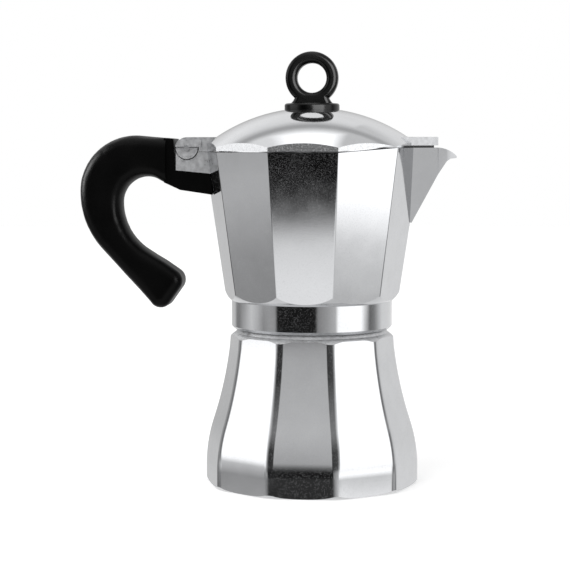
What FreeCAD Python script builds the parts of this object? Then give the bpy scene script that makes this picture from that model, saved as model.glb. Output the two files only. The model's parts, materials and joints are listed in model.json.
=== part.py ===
# Moka pot for six cups: boiler, funnel, seals, collector, hinged lid, handle, knob and safety valve.
# Millimetres. Z is up, the origin lies on the pot's axis at the base, the spout points to +X.
import FreeCAD, Part
import math
import os
import Sketcher
from FreeCAD import Placement, Rotation, Vector

doc = FreeCAD.newDocument("moka_pot")

# Driving sizes
SIZES = [
    ("facet_count", 10, "flat sides of the boiler, the collector and the lid's rim"),
    ("edge_round", 1.6, "rounding of the upright edges between the collector's sides"),
    ("base_apothem", 49.8, "axis to flat side, at the base"),
    ("base_straight", 9, "height of the upright foot of the flat sides"),
    ("belly_in", 3.56, "how far the belly draws in"),
    ("belly_rise", 22, "height of the belly over the foot"),
    ("waist_in", 7.54, "how far the waist draws in over the belly"),
    ("waist_rise", 36, "height of the waist over the belly"),
    ("waist_arc", 195, "radius of the concave waist"),
    ("foot_round", 4, "rounding turned on the boiler's lower edge"),
    ("boiler_wall", 3.4, "wall of the boiler"),
    ("boiler_floor", 3.5, "floor of the boiler"),
    ("neck_rise", 5.5, "height of the turned shoulder over the waist"),
    ("neck_in", 1.7, "waist to the plain neck"),
    ("neck_ring", 2.7, "height of the plain neck seen below the collar"),
    ("neck_high", 12, "height of the whole neck"),
    ("neck_wall", 4.8, "wall of the neck below the thread"),
    ("flange_wide", 3.2, "width of the step that takes the funnel's flange"),
    ("flange_thick", 1.1, "thickness of the funnel's flange"),
    ("thread_in", 2.2, "plain neck to the thread's root"),
    ("thread_deep", 1.7, "depth of the thread"),
    ("thread_pitch", 3.5, "rise per turn"),
    ("thread_foot", 2.1, "width of the thread at its root"),
    ("thread_land", 0.6, "width of the thread at its crest"),
    ("thread_play", 0.45, "clearance round the thread"),
    ("thread_end", 0.85, "thread to the boiler's rim"),
    ("collar_wall", 2.5, "wall of the collar outside the thread"),
    ("collar_gap", 0.4, "gap between the neck and the collar"),
    ("collar_high", 13.6, "height of the collar"),
    ("shoulder_out", 1, "collar to the flat sides above it"),
    ("shoulder_rise", 5.6, "height of the turned shoulder over the collar"),
    ("side_high", 71.9, "height of the collector's flat sides"),
    ("rim_out", 10.2, "how far the flat sides run outward over that height"),
    ("rim_lift", 2.1, "how much higher the rim is on the spout side"),
    ("rim_lift_start", 16.3, "distance from the axis where the rim starts to rise"),
    ("rim_lift_inset", 7.5, "flat side to where the rim is level again"),
    ("collector_wall", 2.4, "wall of the collector"),
    ("floor_up", 4, "collar's top to the collector's floor"),
    ("floor_rise", 3.8, "rise of the floor towards the column"),
    ("spout_half", 11.5, "half of the spout's width at the rim"),
    ("spout_inset", 1.1, "flat side to the spout's root at the rim"),
    ("spout_high", 35.6, "height of the spout below the rim"),
    ("keel_run", 17, "run of the keel from the spout's lower end to the lip"),
    ("keel_drop", 4.1, "rim to the keel below the lip"),
    ("tip_run", 5.3, "run of the lip past the keel"),
    ("tip_drop", 2.3, "rim to the spout's tip"),
    ("spout_wall", 1.9, "wall of the spout"),
    ("gasket_lip", 2, "width of the gasket inside the boiler's mouth"),
    ("gasket_thick", 4, "thickness of the gasket"),
    ("plate_lap", 3.2, "lap of the filter plate on the gasket"),
    ("plate_thick", 1, "thickness of the filter plate"),
    ("sieve_hole", 0.75, "radius of the holes in both sieves"),
    ("sieve_rings", 6, "rings of holes in both sieves"),
    ("basket_play", 0.7, "clearance of the basket in the boiler's mouth"),
    ("basket_deep", 26.5, "depth of the basket"),
    ("funnel_wall", 0.9, "wall of the funnel"),
    ("stem_radius", 5.2, "outer radius of the funnel's stem"),
    ("stem_gap", 5.5, "stem's lower end to the boiler's floor"),
    ("column_radius", 6.2, "radius of the riser column at its top"),
    ("column_foot", 8.6, "radius of the riser column at its foot"),
    ("column_bore", 4.2, "bore of the riser column"),
    ("column_drop", 12.1, "rim to the column's top"),
    ("column_plug", 6.6, "radius of the column's plug in the floor"),
    ("lid_gap", 0.6, "gap between the lid and the rim"),
    ("crown_radius", 83, "radius of the lid's dome"),
    ("crown_flat", 14.2, "radius of the flat seat for the knob"),
    ("seat_sink", 0.9, "depth of the knob's seat in the dome"),
    ("dome_high", 19.2, "height of the flat seat over the rim"),
    ("lid_wall", 2, "wall of the lid"),
    ("beak_run", 10.7, "flat side to the end of the lid's beak"),
    ("beak_thick", 4.55, "thickness of the beak"),
    ("hinge_out", 9.9, "flat side to the hinge pin"),
    ("hinge_rise", 1.8, "height of the hinge pin over the rim"),
    ("ear_radius", 5.3, "radius of the lid's hinge ears"),
    ("ear_outer", 8.5, "half of the width over the ears"),
    ("tongue_half", 4.3, "half of the width of the lug's tongue"),
    ("tongue_radius", 4.2, "radius of the lug's tongue"),
    ("hinge_play", 0.45, "clearance round the moving hinge parts"),
    ("pin_radius", 1.5, "radius of the hinge pin"),
    ("pin_play", 0.05, "running clearance of the ears on the pin"),
    ("lug_half", 8, "half of the lug's width"),
    ("lug_run", 5.4, "hinge pin to the lug's end"),
    ("lug_high", 8.9, "rim to the lug's lower edge at its end"),
    ("lug_slope", 0.092, "fall of the lug's lower edge towards the pot"),
    ("handle_gap", 0.45, "gap between the lug and the handle"),
    ("handle_half", 10, "half of the handle's width"),
    ("handle_round", 5, "rounding of the handle's edges"),
    ("grip_run", 47.95, "length of the handle behind the lug"),
    ("grip_drop", 10.7, "lug's lower edge to the handle's farthest point"),
    ("grip_thick", 21, "thickness of the grip there"),
    ("grip_crown", 27.6, "radius of the handle's upper back"),
    ("grip_heel", 42, "radius of the handle's lower back"),
    ("top_fall", 5.4, "slope of the handle's upper edge, in degrees"),
    ("heel_fall", 47, "slope of the outer side of the handle's leg, in degrees"),
    ("outer_leg", 42.86, "length of that side"),
    ("palm_drop", 5.3, "farthest point of the handle's back to that of its inner side"),
    ("palm_arc", 26.9, "radius of the inner side below that point"),
    ("palm_fall", 34.4, "slope of the inner side of the handle's leg, in degrees"),
    ("inner_leg", 25.1, "length of that side"),
    ("arch_arc", 12.8, "radius of the inner side above that point"),
    ("neck_fall", 24.5, "slope of the lower edge towards the lip, in degrees"),
    ("lip_drop", 11.9, "lug's lower edge to the lower edge of the handle's lip"),
    ("bolt_back", 3.6, "hinge pin to the handle's bolt"),
    ("bolt_radius", 2, "radius of the handle's bolt"),
    ("bolt_head", 3.6, "radius of the bolt's head"),
    ("bolt_head_high", 2.6, "height of the bolt's head"),
    ("bolt_under", 5.8, "lug's lower edge to the seat of the bolt's washer"),
    ("bolt_grip", 6.4, "length of the bolt in the lug"),
    ("washer_thick", 0.8, "thickness of the washers"),
    ("knob_foot", 13.3, "radius of the knob's foot"),
    ("knob_foot_high", 4.2, "height of the knob's foot"),
    ("ring_up", 16.4, "lid's seat to the ring's centre"),
    ("ring_outer", 12.75, "outer radius of the ring"),
    ("ring_bar", 5.65, "thickness of the ring"),
    ("ring_depth", 8, "depth of the ring"),
    ("neck_half", 8.45, "half of the width of the knob's neck"),
    ("insert_radius", 2.9, "radius of the knob's brass insert"),
    ("insert_long", 6.6, "length of the brass insert"),
    ("stud_radius", 2, "radius of the knob's screw"),
    ("stud_play", 0.3, "clearance of the knob's screw in the lid"),
    ("valve_drop", 17, "end of the waist to the safety valve"),
    ("boss_out", 5.3, "waist to the flat boss of the valve"),
    ("valve_shank", 5, "radius of the valve's shank"),
    ("valve_inside", 7.5, "length of the shank in the boss"),
    ("valve_hex", 6.6, "half of the width over the valve's hexagon"),
    ("valve_hex_high", 4.6, "height of the hexagon"),
    ("valve_barrel", 4.7, "radius of the valve's barrel"),
    ("valve_barrel_high", 4, "length of the barrel outside the hexagon"),
    ("valve_bore", 3.3, "bore of the valve"),
    ("valve_orifice", 1.5, "radius of the opening into the boiler"),
    ("plunger_radius", 2.9, "radius of the plunger's head"),
    ("plunger_stem", 1.2, "radius of the plunger's stem"),
    ("spring_wire", 0.3, "radius of the spring's wire"),
    ("spring_coils", 6, "turns of the spring"),
    ("cap_thick", 1.6, "thickness of the valve's cap"),
]

# Places that follow from the driving sizes. Levels are heights, reaches are distances from the axis.
PLACES = [
    ("belly_apothem", "base_apothem - belly_in"),
    ("belly_level", "base_straight + belly_rise"),
    ("belly_arc", "1.075 * (belly_rise * belly_rise + belly_in * belly_in) / (2 * belly_in)"),
    ("waist_apothem", "belly_apothem - waist_in"),
    ("waist_level", "belly_level + waist_rise"),
    ("neck_radius", "waist_apothem - neck_in"),
    ("neck_level", "waist_level + neck_rise"),
    ("mouth_level", "neck_level + neck_high"),
    ("thread_root", "neck_radius - thread_in"),
    ("thread_crest", "thread_root + thread_deep"),
    ("neck_bore", "thread_root - neck_wall"),
    ("flange_seat", "neck_bore + flange_wide"),
    ("collar_radius", "thread_crest + collar_wall"),
    ("collar_level", "neck_level + neck_ring + collar_gap"),
    ("thread_turns", "(mouth_level - thread_end - collar_level - thread_foot) / thread_pitch"),
    ("shoulder_level", "collar_level + collar_high"),
    ("rim_apothem", "collar_radius + shoulder_out + rim_out"),
    ("rim_level", "shoulder_level + side_high"),
    ("rim_lift_end", "rim_apothem - rim_lift_inset"),
    ("flare", "rim_out / side_high"),
    ("collector_floor", "shoulder_level + floor_up"),
    ("floor_peak", "collector_floor + floor_rise"),
    ("spout_root", "rim_apothem - spout_inset"),
    ("spout_apex_level", "rim_level - spout_high"),
    ("spout_apex_reach", "(rim_apothem - flare * spout_high) / cos(180 / facet_count) + 0.12"),
    ("keel_reach", "spout_apex_reach + keel_run"),
    ("keel_level", "rim_level - keel_drop"),
    ("tip_reach", "keel_reach + tip_run"),
    ("tip_level", "rim_level - tip_drop"),
    ("gasket_bore", "neck_bore - gasket_lip"),
    ("gasket_radius", "thread_root + 0.1"),
    ("plate_radius", "gasket_bore + plate_lap"),
    ("basket_radius", "neck_bore - basket_play"),
    ("basket_floor", "mouth_level - basket_deep"),
    ("stem_end", "boiler_floor + stem_gap"),
    ("column_top", "rim_level - column_drop"),
    ("crown_level", "rim_level + dome_high"),
    ("beak_reach", "rim_apothem + beak_run"),
    ("beak_top", "rim_level + rim_lift + lid_gap + beak_thick"),
    ("hinge_reach", "rim_apothem + hinge_out"),
    ("hinge_level", "rim_level + hinge_rise"),
    ("lug_reach", "hinge_reach + lug_run"),
    ("lug_drop", "rim_level - lug_high"),
    ("handle_end", "lug_reach + handle_gap"),
    ("grip_reach", "handle_end + grip_run"),
    ("grip_level", "lug_drop - grip_drop"),
    ("end_low_reach", "grip_reach - grip_heel + grip_heel * sin(heel_fall) - outer_leg * cos(heel_fall)"),
    ("end_low_level", "grip_level - grip_heel * cos(heel_fall) - outer_leg * sin(heel_fall)"),
    ("palm_reach", "grip_reach - grip_thick"),
    ("palm_level", "grip_level - palm_drop"),
    ("end_high_reach", "palm_reach - palm_arc + palm_arc * sin(palm_fall) - inner_leg * cos(palm_fall)"),
    ("end_high_level", "palm_level - palm_arc * cos(palm_fall) - inner_leg * sin(palm_fall)"),
    ("lip_level", "lug_drop - lip_drop"),
    ("bolt_reach", "hinge_reach - bolt_back"),
    ("bolt_seat", "lug_drop - bolt_under"),
    ("bolt_tip", "lug_drop + bolt_grip"),
    ("ring_level", "crown_level + ring_up"),
    ("ring_inner", "ring_outer - ring_bar"),
    ("valve_level", "waist_level - valve_drop"),
    ("valve_face", "waist_apothem + boss_out"),
]

sheet = doc.addObject("Spreadsheet::Sheet", "Pot")
for row, (alias, value, meaning) in enumerate(SIZES, start=1):
    sheet.set(f"A{row}", alias)
    sheet.set(f"B{row}", str(value))
    sheet.set(f"C{row}", meaning)
    sheet.setAlias(f"B{row}", alias)
for row, (alias, formula) in enumerate(PLACES, start=len(SIZES) + 1):
    sheet.set(f"A{row}", alias)
    sheet.set(f"B{row}", "=" + formula)
    sheet.setAlias(f"B{row}", alias)
doc.recompute()


def size(formula):
    """Value of a formula over the sheet, in millimetres."""
    return float(sheet.evalExpression(formula))


def plane(body, role):
    """One of the body's own origin planes or axes."""
    return next(item for item in body.Origin.OriginFeatures if item.Role == role)


def new_body(label):
    """Empty body whose label is the piece's name."""
    body = doc.addObject("PartDesign::Body", label)
    body.Label = label
    return body


def new_sketch(body, name, role, offset=None):
    """Sketch on an origin plane, moved along the plane's normal by a formula."""
    sketch = body.newObject("Sketcher::SketchObject", name)
    sketch.AttachmentSupport = [(plane(body, role), "")]
    sketch.MapMode = "FlatFace"
    if offset:
        sketch.setExpression("AttachmentOffset.Base.z", offset)
    return sketch


def pin_point(sketch, index, end, formula_x, formula_y):
    """Tie one end of a curve to two formulas."""
    for kind, axis, formula in (("DistanceX", -2, formula_x), ("DistanceY", -1, formula_y)):
        if abs(size(formula)) < 1e-9:
            sketch.addConstraint(Sketcher.Constraint("PointOnObject", index, end, axis))
            continue
        tie = sketch.addConstraint(Sketcher.Constraint(kind, -1, 1, index, end, size(formula)))
        sketch.setExpression(f"Constraints[{tie}]", formula)


def arc_between(start, finish, radius, side):
    """Minor arc between two points, with its centre on the given side of the way."""
    chord = finish - start
    across = Vector(-chord.y, chord.x, 0).normalize()
    if side == "right":
        across = across * -1
    rise = math.sqrt(max(radius ** 2 - chord.Length ** 2 / 4, 0))
    centre = (start + finish) * 0.5 + across * rise
    angles = [math.atan2(p.y - centre.y, p.x - centre.x) for p in (start, finish)]
    if side == "right":
        angles.reverse()
    return Part.ArcOfCircle(Part.Circle(centre, Vector(0, 0, 1), radius), *angles)


def trace(sketch, corners):
    """Closed outline. A corner is (x, y), or (x, y, radius, side) when an arc leads to it."""
    count = len(corners)
    points = [Vector(size(corner[0]), size(corner[1]), 0) for corner in corners]
    first = len(sketch.Geometry)
    ends = []
    for i in range(count):
        ahead = corners[(i + 1) % count]
        start, finish = points[i], points[(i + 1) % count]
        if len(ahead) == 4:
            index = sketch.addGeometry(arc_between(start, finish, size(ahead[2]), ahead[3]), False)
            ends.append((2, 1) if ahead[3] == "right" else (1, 2))
            tie = sketch.addConstraint(Sketcher.Constraint("Radius", index, size(ahead[2])))
            sketch.setExpression(f"Constraints[{tie}]", ahead[2])
        else:
            sketch.addGeometry(Part.LineSegment(start, finish), False)
            ends.append((1, 2))
    for i in range(count):
        after = (i + 1) % count
        joint = ("Coincident", first + i, ends[i][1], first + after, ends[after][0])
        sketch.addConstraint(Sketcher.Constraint(*joint))
        pin_point(sketch, first + i, ends[i][0], corners[i][0], corners[i][1])


def ring(sketch, x, y, radius):
    """Circle with its centre and radius tied to formulas."""
    centre = Vector(size(x), size(y), 0)
    index = sketch.addGeometry(Part.Circle(centre, Vector(0, 0, 1), size(radius)), False)
    pin_point(sketch, index, 3, x, y)
    tie = sketch.addConstraint(Sketcher.Constraint("Radius", index, size(radius)))
    sketch.setExpression(f"Constraints[{tie}]", radius)


def polygon(sketch, apothem, sides, turn):
    """Regular polygon round the axis, its corners tied to the apothem."""
    corners = []
    for i in range(sides):
        angle = turn + i * 360 / sides
        reach = f"{apothem} / cos(180 / {sides})"
        corners.append((f"{reach} * cos({angle})", f"{reach} * sin({angle})"))
    trace(sketch, corners)


def turned(body, name, corners, cut=False):
    """Outline in the XZ plane turned round the axis, added or cut away."""
    sketch = new_sketch(body, name + "_profile", "XZ_Plane")
    trace(sketch, corners)
    kind = "PartDesign::Groove" if cut else "PartDesign::Revolution"
    feature = body.newObject(kind, name)
    feature.Profile = sketch
    feature.ReferenceAxis = (sketch, ["V_Axis"])
    feature.Angle = 360
    body.Tip = feature
    doc.recompute()
    return feature


def slab(body, name, sketch, length, cut=False, middle=False, back=False):
    """Sketch pushed out by a formula's length, or through all when the length is None."""
    feature = body.newObject("PartDesign::Pocket" if cut else "PartDesign::Pad", name)
    feature.Profile = sketch
    feature.Midplane = middle
    feature.Reversed = back
    if length is None:
        feature.Type = "ThroughAll"
    else:
        feature.setExpression("Length", length)
    body.Tip = feature
    doc.recompute()
    return feature


def around(body, name, feature, count):
    """Feature repeated round the body's axis."""
    pattern = body.newObject("PartDesign::PolarPattern", name)
    pattern.Originals = [feature]
    pattern.Axis = (plane(body, "Z_Axis"), [""])
    pattern.Angle = 360
    pattern.setExpression("Occurrences", count)
    body.Tip = pattern
    doc.recompute()
    return pattern


def loft(body, name, sections, cut=False):
    """Straight-sided loft through sketches."""
    feature = body.newObject("PartDesign::SubtractiveLoft" if cut else "PartDesign::AdditiveLoft", name)
    feature.Profile = sections[0]
    feature.Sections = sections[1:]
    feature.Ruled = True
    body.Tip = feature
    doc.recompute()
    return feature


def rounded(body, name, chosen, radius, kind="PartDesign::Fillet"):
    """Fillet or chamfer on the edges that the test picks."""
    base = body.Tip
    names = [f"Edge{i}" for i, edge in enumerate(base.Shape.Edges, start=1) if chosen(edge)]
    feature = body.newObject(kind, name)
    feature.Base = (base, names)
    feature.setExpression("Radius" if kind.endswith("Fillet") else "Size", radius)
    body.Tip = feature
    doc.recompute()
    return feature


def thread(body, name, corners, turns, cut=False):
    """Outline in the XZ plane led round the axis on the thread's helix."""
    sketch = new_sketch(body, name + "_profile", "XZ_Plane")
    trace(sketch, corners)
    kind = "PartDesign::SubtractiveHelix" if cut else "PartDesign::AdditiveHelix"
    feature = body.newObject(kind, name)
    feature.Profile = sketch
    feature.ReferenceAxis = (sketch, ["V_Axis"])
    feature.Mode = "pitch-turns-angle"
    feature.setExpression("Pitch", "Pot.thread_pitch")
    feature.setExpression("Turns", turns)
    body.Tip = feature
    doc.recompute()
    return feature


def sieve(body, radius):
    """Rings of small holes through a disc, six more in every ring."""
    for ring_number in range(1, int(size("Pot.sieve_rings")) + 1):
        sketch = new_sketch(body, f"hole_{ring_number}", "XY_Plane")
        ring(sketch, f"{ring_number} * ({radius} - 2.4) / Pot.sieve_rings", "0", "Pot.sieve_hole")
        hole = slab(body, f"sieve_{ring_number}", sketch, None, cut=True, middle=True)
        around(body, f"sieve_ring_{ring_number}", hole, f"{6 * ring_number}")


# Boiler
THREAD_MIDDLE = "(Pot.collar_level + Pot.thread_foot / 2)"

boiler = new_body("boiler")
turned(boiler, "boiler_blank", [
    ("0", "0"),
    ("Pot.base_apothem - 0.35 * Pot.foot_round", "0"),
    ("Pot.base_apothem + 0.65 * Pot.foot_round + 0.4", "Pot.foot_round", "Pot.foot_round + 0.3", "left"),
    ("Pot.base_apothem + 0.65 * Pot.foot_round + 0.4", "Pot.belly_level"),
    ("Pot.waist_apothem + 3.4", "Pot.waist_level - 0.6"),
    ("Pot.neck_radius", "Pot.neck_level", "9", "left"),
    ("Pot.neck_radius - 1.1", "Pot.neck_level + Pot.neck_ring"),
    ("Pot.thread_root", "Pot.neck_level + Pot.neck_ring"),
    ("Pot.thread_root", "Pot.mouth_level"),
    ("0", "Pot.mouth_level"),
])
facet = new_sketch(boiler, "boiler_facet", "YZ_Plane")
trace(facet, [
    ("Pot.base_apothem", "-1"),
    ("Pot.base_apothem + 20", "-1"),
    ("Pot.base_apothem + 20", "Pot.neck_level"),
    ("Pot.waist_apothem - 0.4", "Pot.neck_level"),
    ("Pot.waist_apothem", "Pot.waist_level"),
    ("Pot.belly_apothem", "Pot.belly_level", "Pot.waist_arc", "left"),
    ("Pot.base_apothem", "Pot.base_straight", "Pot.belly_arc", "right"),
])
around(boiler, "boiler_facets", slab(boiler, "boiler_side", facet, None, cut=True, middle=True),
       "Pot.facet_count")
boss = new_sketch(boiler, "valve_boss_profile", "XZ_Plane", "-Pot.valve_face")
ring(boss, "0", "Pot.valve_level", "Pot.valve_shank + 3.4")
slab(boiler, "valve_boss", boss, "Pot.valve_inside")
turned(boiler, "boiler_cavity", [
    ("0", "Pot.boiler_floor"),
    ("Pot.base_apothem - Pot.boiler_wall - 6", "Pot.boiler_floor"),
    ("Pot.base_apothem - Pot.boiler_wall", "Pot.boiler_floor + 6", "6", "left"),
    ("Pot.belly_apothem - Pot.boiler_wall", "Pot.belly_level", "Pot.belly_arc - Pot.boiler_wall", "left"),
    ("Pot.waist_apothem - Pot.boiler_wall", "Pot.waist_level - 3", "Pot.waist_arc + Pot.boiler_wall", "right"),
    ("Pot.neck_bore", "Pot.waist_level + 2"),
    ("Pot.neck_bore", "Pot.mouth_level - Pot.flange_thick"),
    ("Pot.flange_seat", "Pot.mouth_level - Pot.flange_thick"),
    ("Pot.flange_seat", "Pot.mouth_level + 1"),
    ("0", "Pot.mouth_level + 1"),
], cut=True)
tapping = new_sketch(boiler, "valve_tapping_profile", "XZ_Plane", "-Pot.valve_face - 1")
ring(tapping, "0", "Pot.valve_level", "Pot.valve_shank")
slab(boiler, "valve_tapping", tapping, "Pot.valve_inside + 8", cut=True, back=True)
thread(boiler, "boiler_thread", [
    ("Pot.thread_root - 0.3", f"{THREAD_MIDDLE} - Pot.thread_foot / 2"),
    ("Pot.thread_crest", f"{THREAD_MIDDLE} - Pot.thread_land / 2"),
    ("Pot.thread_crest", f"{THREAD_MIDDLE} + Pot.thread_land / 2"),
    ("Pot.thread_root - 0.3", f"{THREAD_MIDDLE} + Pot.thread_foot / 2"),
], "Pot.thread_turns")

# Safety valve on the boiler's back
VALVE_PLACE = Placement(Vector(0, size("Pot.valve_face"), size("Pot.valve_level")),
                        Rotation(Vector(1, 0, 0), -90))
VALVE_TOP = "(Pot.washer_thick + Pot.valve_hex_high + Pot.valve_barrel_high)"
VALVE_SEAT = "(Pot.valve_inside - 2)"


def on_valve(body):
    """Stand a piece on the valve's boss, its own Z axis pointing outward."""
    body.Placement = VALVE_PLACE
    body.setExpression(".Placement.Base.y", "Pot.valve_face")
    body.setExpression(".Placement.Base.z", "Pot.valve_level")
    doc.recompute()


valve_body = new_body("valve_body")
turned(valve_body, "valve_barrel", [
    ("Pot.valve_orifice", "-Pot.valve_inside"),
    ("Pot.valve_shank", "-Pot.valve_inside"),
    ("Pot.valve_shank", "Pot.washer_thick + 0.5"),
    ("Pot.valve_barrel", "Pot.washer_thick + 0.5"),
    ("Pot.valve_barrel", VALVE_TOP),
    ("Pot.valve_bore", VALVE_TOP),
    ("Pot.valve_bore", f"-{VALVE_SEAT}"),
    ("Pot.valve_orifice", f"-{VALVE_SEAT}"),
])
hexagon = new_sketch(valve_body, "valve_hexagon_profile", "XY_Plane", "Pot.washer_thick")
polygon(hexagon, "Pot.valve_hex", 6, 0)
ring(hexagon, "0", "0", "Pot.valve_barrel - 0.6")
slab(valve_body, "valve_hexagon", hexagon, "Pot.valve_hex_high")
on_valve(valve_body)

valve_washer = new_body("valve_washer")
turned(valve_washer, "washer_ring", [
    ("Pot.valve_shank + 0.1", "0"),
    ("Pot.valve_hex + 0.9", "0"),
    ("Pot.valve_hex + 0.9", "Pot.washer_thick"),
    ("Pot.valve_shank + 0.1", "Pot.washer_thick"),
])
on_valve(valve_washer)

valve_plunger = new_body("valve_plunger")
turned(valve_plunger, "plunger_rod", [
    ("0", f"-{VALVE_SEAT}"),
    ("Pot.plunger_radius - 0.8", f"-{VALVE_SEAT}"),
    ("Pot.plunger_radius", f"-{VALVE_SEAT} + 0.8"),
    ("Pot.plunger_radius", f"-{VALVE_SEAT} + 2.6"),
    ("Pot.plunger_stem", f"-{VALVE_SEAT} + 2.6"),
    ("Pot.plunger_stem", f"{VALVE_TOP} + 0.7"),
    ("Pot.plunger_stem - 0.5", f"{VALVE_TOP} + 1.2"),
    ("0", f"{VALVE_TOP} + 1.2"),
])
on_valve(valve_plunger)

valve_cap = new_body("valve_cap")
turned(valve_cap, "cap_ring", [
    ("Pot.plunger_stem + 0.35", f"{VALVE_TOP} - Pot.cap_thick"),
    ("Pot.valve_bore", f"{VALVE_TOP} - Pot.cap_thick"),
    ("Pot.valve_bore", VALVE_TOP),
    ("Pot.plunger_stem + 0.35", VALVE_TOP),
])
on_valve(valve_cap)

# The spring is one wire on a helix between the plunger's head and the cap
COIL_START = f"(2.65 + Pot.spring_wire - {VALVE_SEAT})"
COIL_LONG = f"({VALVE_TOP} - Pot.cap_thick - Pot.spring_wire - 0.05 - {COIL_START})"
wire = size("Pot.spring_wire")
coil_radius = (size("Pot.plunger_stem") + size("Pot.valve_bore")) / 2
helix = Part.makeHelix(size(COIL_LONG) / size("Pot.spring_coils"), size(COIL_LONG), coil_radius)
wire_section = Part.Wire(Part.Circle(Vector(coil_radius, 0, 0), Vector(0, 1, 0), wire).toShape())
valve_spring = doc.addObject("Part::Feature", "valve_spring")
valve_spring.Label = "valve_spring"
valve_spring.Shape = Part.Wire(helix.Edges).makePipeShell([wire_section], True, True)
on_valve(valve_spring)
valve_spring.setExpression(".Placement.Base.y", f"Pot.valve_face + {COIL_START}")
doc.recompute()

# Funnel with its basket
funnel = new_body("funnel")
turned(funnel, "funnel_shell", [
    ("Pot.stem_radius - Pot.funnel_wall", "Pot.stem_end"),
    ("Pot.stem_radius", "Pot.stem_end"),
    ("Pot.stem_radius", "Pot.basket_floor - 12"),
    ("Pot.basket_radius", "Pot.basket_floor - 2"),
    ("Pot.basket_radius", "Pot.mouth_level - Pot.flange_thick"),
    ("Pot.flange_seat - 0.4", "Pot.mouth_level - Pot.flange_thick"),
    ("Pot.flange_seat - 0.4", "Pot.mouth_level"),
    ("Pot.basket_radius - Pot.funnel_wall", "Pot.mouth_level"),
    ("Pot.basket_radius - Pot.funnel_wall", "Pot.basket_floor"),
    ("Pot.basket_radius - Pot.funnel_wall - 1.4", "Pot.basket_floor"),
    ("Pot.basket_radius - Pot.funnel_wall - 1.4", "Pot.basket_floor - 1"),
    ("Pot.stem_radius - Pot.funnel_wall", "Pot.basket_floor - 11"),
])

funnel_screen = new_body("funnel_screen")
disc = new_sketch(funnel_screen, "screen_disc", "XY_Plane")
ring(disc, "0", "0", "Pot.basket_radius - Pot.funnel_wall - 0.1")
slab(funnel_screen, "screen_plate", disc, "Pot.funnel_wall")
sieve(funnel_screen, "Pot.basket_radius - Pot.funnel_wall - 2")
funnel_screen.setExpression(".Placement.Base.z", "Pot.basket_floor")

# Gasket and filter plate under the collector
gasket = new_body("gasket")
turned(gasket, "gasket_ring", [
    ("Pot.gasket_bore", "0"),
    ("Pot.gasket_radius", "0"),
    ("Pot.gasket_radius", "Pot.gasket_thick"),
    ("Pot.gasket_bore", "Pot.gasket_thick"),
])
gasket.setExpression(".Placement.Base.z", "Pot.mouth_level")

filter_plate = new_body("filter_plate")
disc = new_sketch(filter_plate, "plate_disc", "XY_Plane")
ring(disc, "0", "0", "Pot.plate_radius")
slab(filter_plate, "plate_sheet", disc, "Pot.plate_thick")
sieve(filter_plate, "Pot.gasket_bore - 1")
filter_plate.setExpression(".Placement.Base.z", "Pot.mouth_level + Pot.gasket_thick")

# Collector: flat sides, turned shoulder, collar, spout, lug
SEAT = "(Pot.mouth_level + Pot.gasket_thick)"
RIM_TOP = "(Pot.rim_level + Pot.rim_lift)"
SIDE_START = "(Pot.shoulder_level - 1)"
NOSE = ("(Pot.spout_apex_reach + (Pot.keel_reach - Pot.spout_apex_reach)"
        " / (Pot.keel_level - Pot.spout_apex_level) * (" + RIM_TOP + " - Pot.spout_apex_level))")


def apothem_at(level):
    """Axis to the collector's flat side at a height."""
    return f"(Pot.rim_apothem - Pot.flare * (Pot.rim_level - {level}))"


def upright(edge):
    """Straight edges that climb most of the collector's side."""
    return edge.BoundBox.ZLength > 20 and len(edge.Vertexes) == 2


collector = new_body("collector")
sides = new_sketch(collector, "collector_sides_profile", "XY_Plane", SIDE_START)
polygon(sides, apothem_at(SIDE_START), int(size("Pot.facet_count")), 0)
block = slab(collector, "collector_sides", sides, f"{RIM_TOP} + 1 - {SIDE_START}")
block.setExpression("TaperAngle", "atan(Pot.flare)")
doc.recompute()
rounded(collector, "collector_edges", upright, "Pot.edge_round")
turned(collector, "collector_shoulder", [
    ("Pot.collar_radius", f"{SIDE_START} - 1"),
    ("Pot.rim_apothem", f"{SIDE_START} - 1"),
    ("Pot.rim_apothem", "Pot.shoulder_level + Pot.shoulder_rise + 4"),
    (f"{apothem_at('Pot.shoulder_level')} + 3.4", "Pot.shoulder_level + Pot.shoulder_rise + 0.4"),
    ("Pot.collar_radius", "Pot.shoulder_level", "14", "right"),
], cut=True)
turned(collector, "collar", [
    ("0", "Pot.collar_level"),
    ("Pot.collar_radius - 1.4", "Pot.collar_level"),
    ("Pot.collar_radius", "Pot.collar_level + 1.4"),
    ("Pot.collar_radius", "Pot.shoulder_level + 0.01"),
    ("0", "Pot.shoulder_level + 0.01"),
])


def spout_level(name, share, inset):
    """Level section of the V spout, at a share of the height from its lower end to the rim."""
    level = f"(Pot.spout_apex_level + {share} * ({RIM_TOP} - Pot.spout_apex_level))"
    nose = f"(Pot.spout_apex_reach + {share} * ({NOSE} - Pot.spout_apex_reach))"
    root = f"(Pot.spout_apex_reach + {share} * (Pot.spout_root - Pot.spout_apex_reach) - 8)"
    opening = f"(Pot.spout_half / ({NOSE} - Pot.spout_root))"
    tip = f"({nose} - 2.1 * {inset})"
    sketch = new_sketch(collector, name, "XY_Plane", level)
    trace(sketch, [
        (root, f"-{opening} * ({tip} - {root})"),
        (tip, "0"),
        (root, f"{opening} * ({tip} - {root})"),
    ])
    return sketch


def lip_section(name, reach, keel, raised):
    """Upright section of the lip at a distance from the axis, its keel at the given height."""
    sketch = new_sketch(collector, name, "YZ_Plane", reach)
    top = f"({RIM_TOP} + 1)"
    half = f"(0.35 * ({top} - {keel} - {raised}))"
    trace(sketch, [("0", f"{keel} + {raised}"), (half, top), (f"-{half}", top)])
    return sketch


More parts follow.
